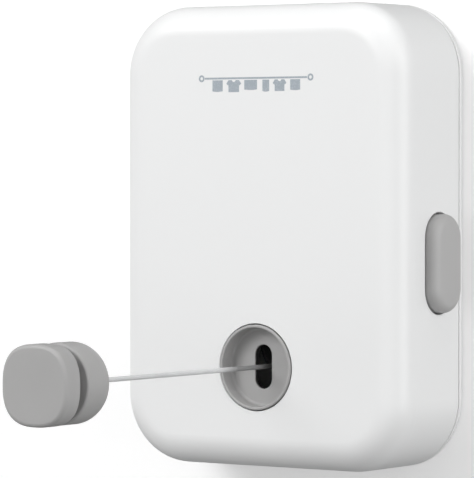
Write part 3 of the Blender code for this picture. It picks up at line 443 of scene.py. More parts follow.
class Finish:
    """A procedural material on the Principled shader."""

    def __init__(self, name, base, roughness, **constants):
        self.material = bpy.data.materials.new(name)
        self.material.use_nodes = True
        self.tree = self.material.node_tree
        self.shader = self.tree.nodes["Principled BSDF"]
        self.base = tuple(base)
        self.set(Base_Color=(*base, 1.0), Roughness=roughness, **constants)
        self.place = self.node("TexCoord").outputs["Object"]

    def node(self, kind, settings=None, *values, **named):
        """A node of that type: its settings first, then values or links for its sockets."""
        made = self.tree.nodes.new("ShaderNode" + kind)
        for key, value in (settings or {}).items():
            if key == "stops":
                self.set_stops(made.color_ramp, value)
            else:
                setattr(made, key, value)
        for socket, value in zip(made.inputs, values):
            self._feed(socket, value)
        for key, value in named.items():
            self._feed(self._socket(made, key), value)
        return made

    def set(self, **named):
        for key, value in named.items():
            self._feed(self._socket(self.shader, key), value)

    @staticmethod
    def set_stops(ramp, stops):
        while len(ramp.elements) < len(stops):
            ramp.elements.new(0.5)
        for element, (position, shade) in zip(ramp.elements, stops):
            element.position = position
            element.color = (*shade, 1.0)

    @staticmethod
    def _socket(node, key):
        for socket in node.inputs:
            if socket.identifier == key:
                return socket
        return node.inputs[key.replace("_", " ")]

    def _feed(self, socket, value):
        if isinstance(value, Value):
            value = value.socket
        if isinstance(value, bpy.types.NodeSocket):
            self.tree.links.new(value, socket)
        else:
            socket.default_value = value

    # Patterns
    def depth(self):
        """The distance from the wall."""
        return Value(self, self.node("SeparateXYZ", None, self.place).outputs[1]) * -1

    def stretched(self, scale, turn=(0, 0, 0), source=None):
        made = self.node("Mapping", None, Vector=source or self.place, Scale=scale, Rotation=turn)
        return made.outputs[0]

    def noise(self, scale, detail=2.0, vector=None):
        made = self.node("TexNoise", None, Vector=vector or self.place, Scale=scale, Detail=detail)
        return Value(self, made.outputs[0])

    def cells(self, scale, feature="F1", vector=None, output="Distance"):
        made = self.node("TexVoronoi", {"feature": feature}, Vector=vector or self.place, Scale=scale)
        return Value(self, made.outputs[output])

    def waves(self, scale, vector=None, **settings):
        made = self.node("TexWave", settings, Vector=vector or self.place, Scale=scale)
        return Value(self, made.outputs["Fac"])

    def smooth(self, value, low, high):
        made = self.node("MapRange", {"interpolation_type": "SMOOTHSTEP"}, Value=value, From_Min=low,
                         From_Max=high)
        return Value(self, made.outputs[0])

    def mix(self, factor, first, second):
        made = self.node("Mix", {"data_type": "RGBA"}, Factor_Float=factor, A_Color=self.shade(first),
                         B_Color=self.shade(second))
        return next(output for output in made.outputs if output.identifier == "Result_Color")

    @staticmethod
    def shade(colour_value):
        if isinstance(colour_value, bpy.types.NodeSocket):
            return colour_value
        return (*colour_value, 1.0)

    def tint(self, scale):
        return tuple(min(1.0, channel * scale) for channel in self.base)

    def worn_edges(self, low=0.52, high=0.62):
        """Nearly 1 along outer edges and 0 elsewhere."""
        geometry = self.node("NewGeometry")
        return self.smooth(Value(self, geometry.outputs["Pointiness"]), low, high)

    def bump(self, *layers):
        """Chains (height, distance in metres, strength) layers into the shader's Normal."""
        normal = None
        for height, distance, strength in layers:
            made = self.node("Bump", None, Strength=strength, Distance=distance, Height=height)
            if normal:
                self.tree.links.new(normal, made.inputs["Normal"])
            normal = made.outputs[0]
        self.set(Normal=normal)


def white_case(base):
    """Satin moulded ABS: a very fine texture, and a gloss that handling has made a little uneven."""
    finish = Finish("white_case", base, 0.36, Specular_IOR_Level=0.5)
    cloud = finish.noise(18, 3)
    handled = finish.smooth(finish.noise(40, 2, finish.stretched((1, 1, 0.6))), 0.25, 0.80)
    finish.set(Base_Color=finish.mix(cloud, finish.tint(0.992), finish.tint(1.006)),
               Roughness=0.35 + cloud * 0.02 + handled * 0.02)
    finish.bump((finish.noise(160, 2), 0.02 * MM, 0.03), (finish.noise(5200, 3), 0.003 * MM, 0.25))
    return finish.material


def grey_plastic(base, name="grey_plastic", painted_shade_below=0.0):
    """Spark-eroded grey ABS: a fine pebbled grain, polished a little along its edges.

    Below a depth from the wall, in the slot that the line runs through, it is darkened nearly to black as
    painted shade in the recess.
    """
    finish = Finish(name, base, 0.46, Specular_IOR_Level=0.5)
    grain = finish.cells(5200, "SMOOTH_F1")
    fine = finish.noise(9000, 2)
    cloud = finish.noise(60, 3)
    edge = finish.worn_edges()
    body = finish.mix(cloud, finish.tint(0.955), finish.tint(1.04))
    specks = finish.smooth(finish.noise(2600, 1), 0.66, 0.74)
    body = finish.mix(edge * 0.35 + specks * 0.10, body, finish.tint(1.22))
    # Painted shade: deeper in than the given depth, the plastic is darkened to stand for the shade in the
    # slot.
    if painted_shade_below:
        above = finish.smooth(finish.depth(), painted_shade_below - 0.6 * MM, painted_shade_below)
        body = finish.mix(above, finish.tint(0.12), body)
    finish.set(Base_Color=body,
               Roughness=0.43 + cloud * 0.09 + grain * 0.05 - edge * 0.10)
    finish.bump((grain, 0.03 * MM, 0.35), (fine, 0.01 * MM, 0.30))
    return finish.material


def inner_plastic(base):
    """Black moulded plastic: flow lines, and a dull as-moulded skin."""
    finish = Finish("inner_plastic", base, 0.5)
    flow = finish.waves(90, finish.stretched((1, 0.4, 1)), wave_profile="SIN")
    cloud = finish.noise(45, 4)
    finish.set(Base_Color=finish.mix(flow * 0.25 + cloud * 0.6, finish.tint(0.95), finish.tint(1.03)),
               Roughness=0.44 + cloud * 0.12)
    finish.bump((finish.noise(3000, 3), 0.015 * MM, 0.3), (flow, 0.01 * MM, 0.1))
    return finish.material


def acetal(base):
    """Waxy turned acetal: fine rings from the tool, and a tone that varies a little at random."""
    finish = Finish("acetal", base, 0.33, Coat_Weight=0.1)
    cut = finish.waves(1500, finish.stretched((1, 1, 1)), wave_type="RINGS", rings_direction="SPHERICAL")
    cloud = finish.noise(120, 3)
    finish.set(Base_Color=finish.mix(cloud, finish.tint(0.95), finish.tint(1.03)),
               Roughness=0.28 + cut * 0.06 + cloud * 0.10)
    finish.bump((cut, 0.006 * MM, 0.3), (finish.noise(4000, 2), 0.004 * MM, 0.2))
    return finish.material


def zinc_steel(base):
    """Zinc-plated sheet and screws: faint spangle, rolling marks and dull handling stains."""
    finish = Finish("zinc_steel", base, 0.34, Metallic=1.0)
    spangle = finish.cells(520, "F1", output="Color")
    flake = finish.noise(700, 3)
    stain = finish.smooth(finish.noise(90, 4), 0.48, 0.72)
    rolled = finish.waves(800, finish.stretched((0.04, 1, 1)), wave_profile="SIN")
    plated = finish.mix(spangle * 0.22 + flake * 0.2, finish.tint(0.88), finish.tint(1.12))
    finish.set(Base_Color=finish.mix(stain * 0.35, plated, (0.47, 0.46, 0.44)),
               Roughness=0.26 + flake * 0.12 + stain * 0.14 + rolled * 0.04)
    finish.bump((rolled, 0.004 * MM, 0.3), (flake, 0.01 * MM, 0.2))
    return finish.material


def bright_steel(base):
    """Ground steel: long fine scratches, and a thin film of grease."""
    finish = Finish("bright_steel", base, 0.24, Metallic=1.0)
    ground = finish.noise(1400, 3, finish.stretched((1, 0.03, 1)))
    film = finish.smooth(finish.noise(160, 3), 0.45, 0.7)
    finish.set(Base_Color=finish.mix(film * 0.4 + ground * 0.2, finish.tint(1.05), finish.tint(0.82)),
               Roughness=0.18 + ground * 0.14 + film * 0.08)
    finish.bump((ground, 0.006 * MM, 0.35))
    return finish.material


def spring_steel(base):
    """Blued spring strip and wire: straw to blue temper colours, rubbed bright here and there."""
    finish = Finish("spring_steel", base, 0.3, Metallic=1.0)
    temper = finish.node("ValToRGB", {"stops": [(0.25, (0.20, 0.22, 0.30)), (0.55, finish.base),
                                                (0.8, (0.42, 0.36, 0.28))]},
                         Fac=finish.noise(110, 3)).outputs[0]
    rub_wear_and_painted_shade = finish.smooth(finish.noise(420, 3), 0.60, 0.72)
    finish.set(Base_Color=finish.mix(rub_wear_and_painted_shade * 0.6, temper, (0.60, 0.60, 0.61)),
               Roughness=0.24 + rub_wear_and_painted_shade * 0.10 + finish.noise(900, 2) * 0.08)
    finish.bump((finish.noise(2600, 2), 0.006 * MM, 0.3))
    return finish.material


def line_cord(base):
    """A braid under a thin clear coat: two sets of strands that cross, from the piece's own UV map."""
    finish = Finish("line_cord", base, 0.55, Coat_Weight=0.15, Coat_Roughness=0.35)
    uv = finish.node("UVMap", {"uv_map": "line"}).outputs[0]
    along = finish.waves(1.0, finish.stretched((1, 1, 1), (0, 0, math.radians(45)), uv),
                         bands_direction="X", wave_profile="SIN")
    across = finish.waves(1.0, finish.stretched((1, 1, 1), (0, 0, math.radians(-45)), uv),
                          bands_direction="X", wave_profile="SIN")
    braid = along * across
    soil = finish.smooth(finish.noise(140, 3), 0.5, 0.75)
    woven = finish.mix(braid, finish.tint(0.80), finish.tint(1.10))
    # Painted shade: the line is darkened from inside the case to a little in front of the outlet cup, where
    # the cup shades it.
    rub_wear_and_painted_shade = 1 - finish.smooth(finish.depth(), SHELL.front + 8 * MM, SHELL.front + 19 * MM)
    finish.set(Base_Color=finish.mix(soil * 0.12 + rub_wear_and_painted_shade * 0.88, woven, (0.17, 0.17, 0.17)),
               Roughness=0.50 + (1 - braid) * 0.15)
    finish.bump((braid, 0.05 * MM, 0.6), (finish.noise(6000, 2), 0.01 * MM, 0.3))
    return finish.material


def printed_ink(base):
    """Pad-printed ink: a satin film that is a little thin and uneven."""
    finish = Finish("printed_ink", base, 0.42)
    thin = finish.smooth(finish.noise(2200, 3), 0.45, 0.75)
    finish.set(Base_Color=finish.mix(thin * 0.35, finish.base, (0.62, 0.65, 0.68)),
               Roughness=0.38 + thin * 0.12)
    finish.bump((thin, 0.004 * MM, 0.3))
    return finish.material


FINISHES = {}


def finish_for(name):
    """Each finish is made once, from the colour in the settings."""
    if name not in FINISHES:
        chosen = bpy.context.scene.clothesline_finish
        makers = {"white_case": (white_case, chosen.case), "grey_plastic": (grey_plastic, chosen.grey),
                  "inner_plastic": (inner_plastic, chosen.inner), "acetal": (acetal, chosen.acetal),
                  "zinc_steel": (zinc_steel, chosen.zinc), "bright_steel": (bright_steel, chosen.zinc),
                  "spring_steel": (spring_steel, chosen.spring), "line_cord": (line_cord, chosen.line),
                  "printed_ink": (printed_ink, chosen.ink)}
        # The button gets the grey plastic in a lighter colour, as painted light.
        makers["button_plastic"] = (grey_plastic, chosen.button, "button_plastic")
        # The outlet's plastic has painted shade below the depth of its floor, in the slot.
        makers["outlet_plastic"] = (grey_plastic, chosen.grey, "outlet_plastic", CUP.front - CUP_DEPTH)
        maker, *values = makers[name]
        FINISHES[name] = maker(*values)
    return FINISHES[name]


# ---- Geometry Nodes ----
class Growth:
    """A Geometry Nodes tree with named inputs, grown node by node."""

    def __init__(self, name, inputs):
        self.tree = bpy.data.node_groups.new(name, "GeometryNodeTree")
        self.tree.interface.new_socket("Geometry", in_out="INPUT", socket_type="NodeSocketGeometry")
        self.tree.interface.new_socket("Geometry", in_out="OUTPUT", socket_type="NodeSocketGeometry")
        for label, kind in inputs.items():
            self.tree.interface.new_socket(label, in_out="INPUT", socket_type="NodeSocket" + kind)
        self.inputs = self.tree.nodes.new("NodeGroupInput").outputs

    def node(self, kind, settings=None, **sockets):
        made = self.tree.nodes.new(kind)
        for key, value in (settings or {}).items():
            setattr(made, key, value)
        for key, value in sockets.items():
            socket = made.inputs[key.replace("_", " ")]
            if isinstance(value, bpy.types.NodeSocket):
                self.tree.links.new(value, socket)
            else:
                socket.default_value = value
        return made

    def end(self, geometry):
        """Realize Instances and Set Material come last, so that a plain mesh comes out."""
        real = self.node("GeometryNodeRealizeInstances", Geometry=geometry).outputs[0]
        coated = self.node("GeometryNodeSetMaterial", Geometry=real, Material=self.inputs["Finish"])
        self.node("NodeGroupOutput", Geometry=coated.outputs[0])
        return self.tree


def grown(tree, start, values):
    """The plain mesh that a tree makes from a starting shape and its named inputs."""
    obj = rough_object("growing", start)
    step = obj.modifiers.new("growth", "NODES")
    step.node_group = tree
    for item in tree.interface.items_tree:
        if item.in_out == "INPUT" and item.name in values:
            step[item.identifier] = values[item.name]
    return baked(obj, "grown")


def screw_tree():
    """Sets a screw on every point, each turned by its own angle about its axis."""
    growth = Growth("Screws on points", {"Screw": "Object", "Most turn": "Float", "Seed": "Int",
                                         "Finish": "Material"})
    master = growth.node("GeometryNodeObjectInfo", {"transform_space": "ORIGINAL"},
                         Object=growth.inputs["Screw"])
    turn = growth.node("FunctionNodeRandomValue", {"data_type": "FLOAT"}, Seed=growth.inputs["Seed"])
    growth.tree.links.new(growth.inputs["Most turn"], turn.inputs[3])
    angles = growth.node("ShaderNodeCombineXYZ", Z=turn.outputs[1]).outputs[0]
    placed = growth.node("GeometryNodeInstanceOnPoints", Points=growth.inputs["Geometry"],
                         Instance=master.outputs["Geometry"], Rotation=angles)
    return growth.end(placed.outputs[0])


def coil_tree():
    """A coil of round wire, or of strip, whose radius and height run evenly from start to end."""
    growth = Growth("Coil", {"Turns": "Float", "Start radius": "Float", "End radius": "Float",
                             "Height": "Float", "Strip width": "Float", "Strip thickness": "Float",
                             "Steps": "Int", "Sides": "Int", "Finish": "Material"})
    path = growth.node("GeometryNodeCurveSpiral", Resolution=growth.inputs["Steps"],
                       Rotations=growth.inputs["Turns"], Start_Radius=growth.inputs["Start radius"],
                       End_Radius=growth.inputs["End radius"], Height=growth.inputs["Height"])
    upright = growth.node("GeometryNodeSetCurveNormal", {"mode": "Z_UP"}, Curve=path.outputs[0])
    section = growth.node("GeometryNodeCurvePrimitiveCircle", Resolution=growth.inputs["Sides"], Radius=0.5)
    size = growth.node("ShaderNodeCombineXYZ", X=growth.inputs["Strip thickness"],
                       Y=growth.inputs["Strip width"], Z=1.0).outputs[0]
    shaped = growth.node("GeometryNodeTransform", Geometry=section.outputs[0], Scale=size)
    swept = growth.node("GeometryNodeCurveToMesh", Curve=upright.outputs[0],
                        Profile_Curve=shaped.outputs[0], Fill_Caps=True)
    return growth.end(swept.outputs[0])


def points_shape(places):
    shape = bmesh.new()
    for place in places:
        shape.verts.new(place)
    return shape


def set_with(tree, label, master_shape, places, finish, **values):
    """A master shape set on every place by a tree, as one shape."""
    master = rough_object("master", master_shape)
    mesh = grown(tree, points_shape(places), {label: master, "Finish": finish, **values})
    drop(master)
    shape = bmesh.new()
    shape.from_mesh(mesh)
    bpy.data.meshes.remove(mesh)
    return closed(shape)


def coil(turns, start, end, height, width, thickness, finish, steps=24, sides=10):
    mesh = grown(coil_tree(), bmesh.new(), {
        "Turns": float(turns), "Start radius": start, "End radius": end, "Height": height,
        "Strip width": width, "Strip thickness": thickness, "Steps": int(turns * steps), "Sides": sides,
        "Finish": finish})
    shape = bmesh.new()
    shape.from_mesh(mesh)
    bpy.data.meshes.remove(mesh)
    return closed(shape)


# ---- The line, which comes first with the camera ----
DRUM_RISE = DRUM_AXIS[1] - EXIT_UP
DRUM_REACH = math.hypot(DRUM_AXIS[0], DRUM_RISE)
LINE_LEAVES_AT = DRUM_REACH * math.sin(LEAN + math.atan2(DRUM_AXIS[0], DRUM_RISE))
PULLEY_RADIUS = PULLEY_DEPTH - LINE_DEPTH
LINE_END = PLATE.back


def line_route():
    """The line's middle in wall terms: off the drum, round the pulley, and straight out to the knob."""
    up_the_line = (-math.sin(LEAN), math.cos(LEAN))
    run = math.sqrt(DRUM_REACH ** 2 - LINE_LEAVES_AT ** 2)
    points = []
    for step in range(13):
        share = run - (run - PULLEY_RADIUS) * step / 13
        points.append((up_the_line[0] * share, EXIT_UP + up_the_line[1] * share, LINE_DEPTH))
    for step in range(9):
        turn = math.pi / 2 * step / 8
        along = PULLEY_RADIUS * (1 - math.sin(turn))
        points.append((up_the_line[0] * along, EXIT_UP + up_the_line[1] * along,
                       LINE_DEPTH + PULLEY_RADIUS * (1 - math.cos(turn))))
    for step in range(1, 49):
        points.append((0.0, EXIT_UP, PULLEY_DEPTH + (LINE_END - PULLEY_DEPTH) * step / 48))
    return points


def tube(route, radius, sides):
    """A closed tube along points, with a UV map that runs along and round it."""
    points = [Vector(point) for point in route]
    shape = bmesh.new()
    layer = shape.loops.layers.uv.new("line")
    side = Vector((1, 0, 0))
    rows, lengths = [], [0.0]
    for here, point in enumerate(points):
        ahead = points[min(here + 1, len(points) - 1)] - points[max(here - 1, 0)]
        side = (side - ahead * (side.dot(ahead) / ahead.length_squared)).normalized()
        other = ahead.normalized().cross(side)
        rows.append([shape.verts.new(point + side * x + other * y) for x, y in circle(radius, sides)])
        if here:
            lengths.append(lengths[-1] + (point - points[here - 1]).length)
    repeat = 3.2 * MM
    for here in range(len(rows) - 1):
        for step in range(sides):
            after = (step + 1) % sides
            face = shape.faces.new((rows[here][step], rows[here][after], rows[here + 1][after],
                                    rows[here + 1][step]))
            corners = ((step, 0), (step + 1, 0), (step + 1, 1), (step, 1))
            for loop, (round_it, along) in zip(face.loops, corners):
                loop[layer].uv = (round_it / sides * 4, lengths[here + along] / repeat * 4)
    shape.faces.new(rows[0])
    shape.faces.new(rows[-1])
    bmesh.ops.recalc_face_normals(shape, faces=shape.faces)
    return shape


def row_point(x, up, depth):
    return (x, -depth, up)


class ClotheslineOperator:
    """What every operator here shares."""
    bl_options = {"REGISTER", "UNDO"}


class CLOTHESLINE_OT_camera(ClotheslineOperator, bpy.types.Operator):
    """Adds the camera that looks at the case from its front right"""
    bl_idname = "clothesline.camera"
    bl_label = "Camera"

    def execute(self, context):
        stage = context.scene.clothesline_stage
        data = bpy.data.cameras.new("camera")
        data.sensor_width = 36.0
        data.lens = stage.lens * data.sensor_width
        data.clip_start = 0.01
        data.clip_end = 60.0
        camera = bpy.data.objects.new("camera", data)
        context.scene.collection.objects.link(camera)
        camera.location = stage.position
        camera.rotation_euler = (math.pi / 2 - stage.elevation, 0, stage.azimuth)
        context.scene.camera = camera
        return {"FINISHED"}


class CLOTHESLINE_OT_line(ClotheslineOperator, bpy.types.Operator):
    """Makes the line from the drum, round the pulley and out to the knob"""
    bl_idname = "clothesline.line"
    bl_label = "Line"

    def execute(self, context):
        settings = context.scene.clothesline_line
        route = line_route()
        shape = tube(route, settings.diameter / 2, settings.sides)
        shape.transform(TO_ROW)
        made = rough_object("pull_line", shape)
        made.data.shade_smooth()
        made.data.set_sharp_from_angle(angle=math.radians(50))
        made.data.materials.append(finish_for("line_cord"))
        path = [row_point(*point) for point in route]
        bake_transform(made)
        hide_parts("line")
        return {"FINISHED"}


# ---- The case ----
def case_outline(inset):
    case = bpy.context.scene.clothesline_case
    return rounded(SHELL.width - 2 * inset, SHELL.height - 2 * inset, case.corner - inset, ease=EASE)


def edge_arc(radius, steps=14):
    """Inset and depth of points round the case's front edge, from the side to the front."""
    edge = bpy.context.scene.clothesline_case.edge
    turns = [math.pi / 2 * step / steps for step in range(steps + 1)]
    return [(edge - radius * math.cos(a), SHELL.front - edge + radius * math.sin(a)) for a in turns]


def shell_profile(case):
    edge, wall, back = case.edge, case.wall, SHELL.back
    inside = [(edge + EASE, SHELL.front - wall), *reversed(edge_arc(edge - wall))]
    rim = softened([(wall, back + 2 * MM, 0), (wall, back, 0.25 * MM), (0, back, 0.45 * MM),
                    (0, back + 2 * MM, 0)], 4, closed=False)
    outside = [(0, SHELL.front - edge - EASE), *edge_arc(edge), (edge + EASE, SHELL.front)]
    return inside + rim + outside


def flared_hole(radius, back, face, lip, centre):
    """A round cutter whose rim is flared, so that the hole it cuts has a rounded edge."""
    flare = [(radius + lip * (1 - math.cos(a)), face - lip + lip * math.sin(a))
             for a in (math.pi / 2 * step / 6 for step in range(7))]
    profile = [(0, back), (radius, back), *flare, (radius + lip, face + MM), (0, face + MM)]
    return turned(profile, 96, centre)


def stadium(width, height, inset=0.0, steps=16):
    return rounded(width - 2 * inset, height - 2 * inset, width / 2 - inset - 1e-5, steps)


def button_cutter(case):
    """The button's opening, with a flared rim, as a cutter through the case's right side."""
    clearance = 0.5 * MM
    width, height = BUTTON_WIDTH + 2 * clearance, BUTTON_HEIGHT + 2 * clearance
    lip = case.lip
    flare = [(-lip * (1 - math.cos(a)), lip * math.sin(a) - lip)
             for a in (math.pi / 2 * step / 5 for step in range(6))]
    profile = [(0, -2 * case.wall), *flare, (-lip, MM)]
    shape = moulded(lambda inset: stadium(width, height, inset), profile)
    return moved(shape, BUTTON_PLACE)


class CLOTHESLINE_OT_front_shell(ClotheslineOperator, bpy.types.Operator):
    """Moulds the white front shell with its outlet, button opening, screw posts and sockets"""
    bl_idname = "clothesline.front_shell"
    bl_label = "Front Shell"

    def execute(self, context):
        case = context.scene.clothesline_case
        inside = SHELL.front - case.wall
        root, foot = inside + GAP, COVER_FRONT + GAP
        post = softened([(SCREW_HOLE, foot, 0), (3.5 * MM, foot, 0.3 * MM), (3.5 * MM, root, 0),
                         (SCREW_HOLE, root, 0)])
        posts = [turned(post, 32, place) for place in case_screw_places()]
        socket = pipe(4.3 * MM, 6.9 * MM, Place("spring_cover").front + 2 * GAP, root, 48, DRUM_AXIS)
        bosses = [pipe(SCREW_HOLE, 2.6 * MM, inside - CUP_BOSS, root, 32, place)
                  for place in cup_screw_places()]
        pin = Place("pawl_pin")
        pawl_post = pipe(1.5 * MM, 3 * MM, Place("pawl_spring").front + GAP, root, 32, (pin.x, pin.up))
        outlet = flared_hole(CUP_RADIUS + GAP, CUP.back, SHELL.front, case.lip, (0, EXIT_UP))
        shape = carved(moulded(case_outline, shell_profile(case)), [outlet, button_cutter(case)],
                       [*posts, socket, *bosses, pawl_post])
        piece("case_front", shape, finish_for("white_case"), "case", "white_case", "front_shell", sharp=32)
        return {"FINISHED"}


def case_screw_places():
    return [(Place(f"case_screw_{number}").x, Place(f"case_screw_{number}").up) for number in range(1, 5)]


def cup_screw_places():
    return [(Place(f"cup_screw_{number}").x, Place(f"cup_screw_{number}").up) for number in (1, 2)]


# ---- The printed mark: washing on a line ----
def shifted(points, x, up):
    return [(a + x, b + up) for a, b in points]


def towel(width, height):
    """A towel hung by its upper corners: its lower edge sags a little."""
    sag = [(width / 2 - width * step / 8, -height - 0.05 * height * math.sin(math.pi * step / 8))
           for step in range(9)]
    return [(-width / 2, 0), (width / 2, 0), *sag]


def shirt(width, height):
    half, sleeve, neck = width / 2, width * 0.26, width * 0.13
    body = half - sleeve * 0.55
    right = [(neck, 0), (half * 0.72, 0), (half, -height * 0.30), (half - sleeve * 0.45, -height * 0.46),
             (body, -height * 0.30), (body, -height)]
    left = [(-x, up) for x, up in reversed(right)]
    collar = [(-neck * math.cos(a), -neck * 0.8 * math.sin(a)) for a in
              (math.pi * step / 6 for step in range(1, 6))]
    return [*right, *left, *collar]


class CLOTHESLINE_OT_printed_mark(ClotheslineOperator, bpy.types.Operator):
    """Prints a plain washing-line picture on the front, as a thin film of ink"""
    bl_idname = "clothesline.printed_mark"
    bl_label = "Printed Mark"

    def execute(self, context):
        case = context.scene.clothesline_case
        low, high = SHELL.front + 0.004 * MM, SHELL.front + 0.03 * MM
        top = case.mark_up + case.mark_height / 2
        stroke_width = 0.5 * MM
        ring = 0.95 * MM
        half = case.mark_width / 2
        line_up = top - ring
        shapes = [pipe(ring - stroke_width, ring, low, high, 32, (side * (half - ring), line_up))
                  for side in (-1, 1)]
        reach = half - 2 * ring - 0.15 * MM
        thick = stroke_width / 2
        shapes.append(box((-reach, line_up - thick, low), (reach, line_up + thick, high)))
        hang = line_up - stroke_width / 2 - 0.25 * MM
        drop_to = hang - (case.mark_up - case.mark_height / 2)
        washing = [(-12.6, towel(3.4 * MM, drop_to * 0.92)), (-7.2, shirt(4.9 * MM, drop_to)),
                   (-1.6, towel(4.2 * MM, drop_to * 0.80)), (3.4, towel(2.2 * MM, drop_to * 0.95)),
                   (7.9, shirt(4.4 * MM, drop_to * 0.96)), (13.0, towel(3.2 * MM, drop_to * 0.86))]
        shapes += [prism(shifted(outline, x * MM, hang), low, high) for x, outline in washing]
        piece("washing_mark", together(shapes), finish_for("printed_ink"), "case", "grey_plastic")
        return {"FINISHED"}


# ---- The rear cover and the bracket ----
def hook_places():
    x = BRACKET.right - 4.5 * MM
    upper, lower = BRACKET.top - 4 * MM, BRACKET.bottom + 17 * MM
    return [(x, upper), (-x, upper), (-x, lower), (x, lower)]


class CLOTHESLINE_OT_rear_cover(ClotheslineOperator, bpy.types.Operator):
    """Moulds the rear cover, with its bracket pocket, stiffening ribs, screw recesses and hook slots"""
    bl_idname = "clothesline.rear_cover"
    bl_label = "Rear Cover"

    def execute(self, context):
        case = context.scene.clothesline_case
        pocket_floor = COVER_FLOOR_BACK
        tongue = case.wall + GAP
        rim_front = SHELL.back - GAP
        profile = [(case.pocket + 1.6 * MM, pocket_floor)]
        corners = [(case.pocket + 1.2 * MM, pocket_floor, 0), (case.pocket, pocket_floor, 0.5 * MM),
                   (case.pocket, COVER.back, 0.3 * MM), (0, COVER.back, 0.35 * MM),
                   (0, rim_front, 0.25 * MM), (tongue, rim_front, 0.12 * MM),
                   (tongue, COVER_FRONT, 0.3 * MM), (tongue + 1.2 * MM, COVER_FRONT, 0)]
        profile += softened(corners, 4, closed=False)
        profile += [(tongue + 1.6 * MM, COVER_FRONT)]
        through = 9 * MM
        cuts = []
        for place in [*case_screw_places(), DRUM_AXIS]:
            cuts.append(rod(SCREW_HOLE, 0, through, 32, place))
            cuts.append(rod(3.4 * MM, 0, pocket_floor + 2 * GAP, 40, place))
        for number in (1, 2):
            screw = Place(f"yoke_screw_{number}")
            cuts.append(rod(SCREW_HOLE, 0, through, 32, (screw.x, screw.up)))
        for side in (-1, 1):
            cuts.append(rod(1.1 * MM, 0, through, 24, (DRUM_AXIS[0] + side * 5 * MM, DRUM_AXIS[1])))
        for x, up in hook_places():
            half = HOOK_WIDTH / 2 + GAP
            cuts.append(prism(shifted(rounded(2 * half, HOOK_STEM + HOOK_LIP + 3 * GAP, 0.6 * MM, 5), x,
                                      up - HOOK_LIP / 2 - GAP / 2), 0, through))
        seat = Place("button_spring")
        seat_box = box((seat.left - 0.3 * MM - 2 * MM, BUTTON_UP - 14.5 * MM, COVER_FRONT - GAP),
                       (seat.left - 0.3 * MM, BUTTON_UP - 7.0 * MM, BUTTON_DEPTH))
        shape = carved(moulded(case_outline, profile), cuts, [seat_box, *self.ribs(pocket_floor)])
        piece("case_back", shape, finish_for("white_case"), "case", "white_case", "rear_cover", sharp=32)
        return {"FINISHED"}

    @staticmethod
    def ribs(pocket_floor):
        """Low ribs on the pocket's floor, in the margins that the bracket leaves free."""
        reach = BRACKET.right + 2.2 * MM
        low, high = BRACKET.back + 1.3 * MM, pocket_floor + GAP
        bars = [rounded(0.9 * MM, 74 * MM, 0.4 * MM, 4), rounded(46 * MM, 0.9 * MM, 0.4 * MM, 4)]
        spots = [(0, reach, 0), (0, -reach, 0), (1, 0, BRACKET.top + 3 * MM),
                 (1, 0, BRACKET.bottom - 3 * MM)]
        return [prism(shifted(bars[kind], x, up), low, high) for kind, x, up in spots]


class CLOTHESLINE_OT_wall_bracket(ClotheslineOperator, bpy.types.Operator):
    """Presses the steel wall bracket, with its screw holes, hooks and a stamped stiffening groove"""
    bl_idname = "clothesline.wall_bracket"
    bl_label = "Wall Bracket"

    def execute(self, context):
        thickness = 2.0 * MM

        def outline(inset):
            return rounded(BRACKET.width - 2 * inset, BRACKET.height - 2 * inset, 5 * MM - inset, 8,
                           ease=EASE)

        profile = [(1.2 * MM, BRACKET.back)]
        profile += softened([(0.9 * MM, BRACKET.back, 0), (0, BRACKET.back, 0.35 * MM),
                             (0, thickness, 0.2 * MM), (0.9 * MM, thickness, 0)], 4, closed=False)
        profile += [(1.2 * MM, thickness)]
        holes = [(0, 32 * MM, 2.25 * MM), (0, -32 * MM, 2.25 * MM), (*DRUM_AXIS, 3.4 * MM)]
        cuts = [self.hole(x, up, radius, thickness) for x, up, radius in holes]
        cuts.append(self.groove())
        hooks = [self.hook(x, up, thickness) for x, up in hook_places()]
        shape = carved(moulded(outline, profile), cuts, hooks)
        piece("wall_bracket_plate", shape, finish_for("zinc_steel"), "case", "zinc_steel", "wall_bracket")
        return {"FINISHED"}

    @staticmethod
    def hole(x, up, radius, thickness):
        """A punched hole, rounded on the side the punch came from."""
        lip = 0.3 * MM
        flare = [(radius + lip * (1 - math.sin(a)), lip * (1 - math.cos(a))) for a in
                 (math.pi / 2 * step / 5 for step in range(6))]
        far = thickness + MM
        return turned([(0, -MM), (radius + lip, -MM), *flare, (radius, far), (0, far)], 48, (x, up))

    @staticmethod
    def groove():
        """A shallow groove pressed round the plate's back, a little in from its edge."""
        def outline(inset):
            return rounded(BRACKET.width - 2 * inset, BRACKET.height - 2 * inset, 14 * MM - inset, 12)
        depth = 0.45 * MM
        return moulded(outline, [(9.2 * MM, -MM), (9.2 * MM, 0), (9.9 * MM, depth), (10.6 * MM, depth),
                                 (11.3 * MM, 0), (11.3 * MM, -MM)], ring=True)

    @staticmethod
    def hook(x, up, thickness):
        """A bent hook: its stem through the cover, and its lip standing up behind it."""
        low, high = up - HOOK_STEM / 2, up + HOOK_STEM / 2
        lip_back = COVER_FRONT + GAP
        lip_front = lip_back + HOOK_LIP_THICKNESS
        top = high + HOOK_LIP
        root = thickness / 2
        side_view = softened([(low, root, 0), (low, lip_front, 1.0 * MM), (top, lip_front, 0.3 * MM),
                              (top, lip_back, 0.3 * MM), (high, lip_back, 0.2 * MM), (high, root, 0)], 4)
        sides = [[(x + side * HOOK_WIDTH / 2, a, b) for a, b in side_view] for side in (-1, 1)]
        return loft(sides)


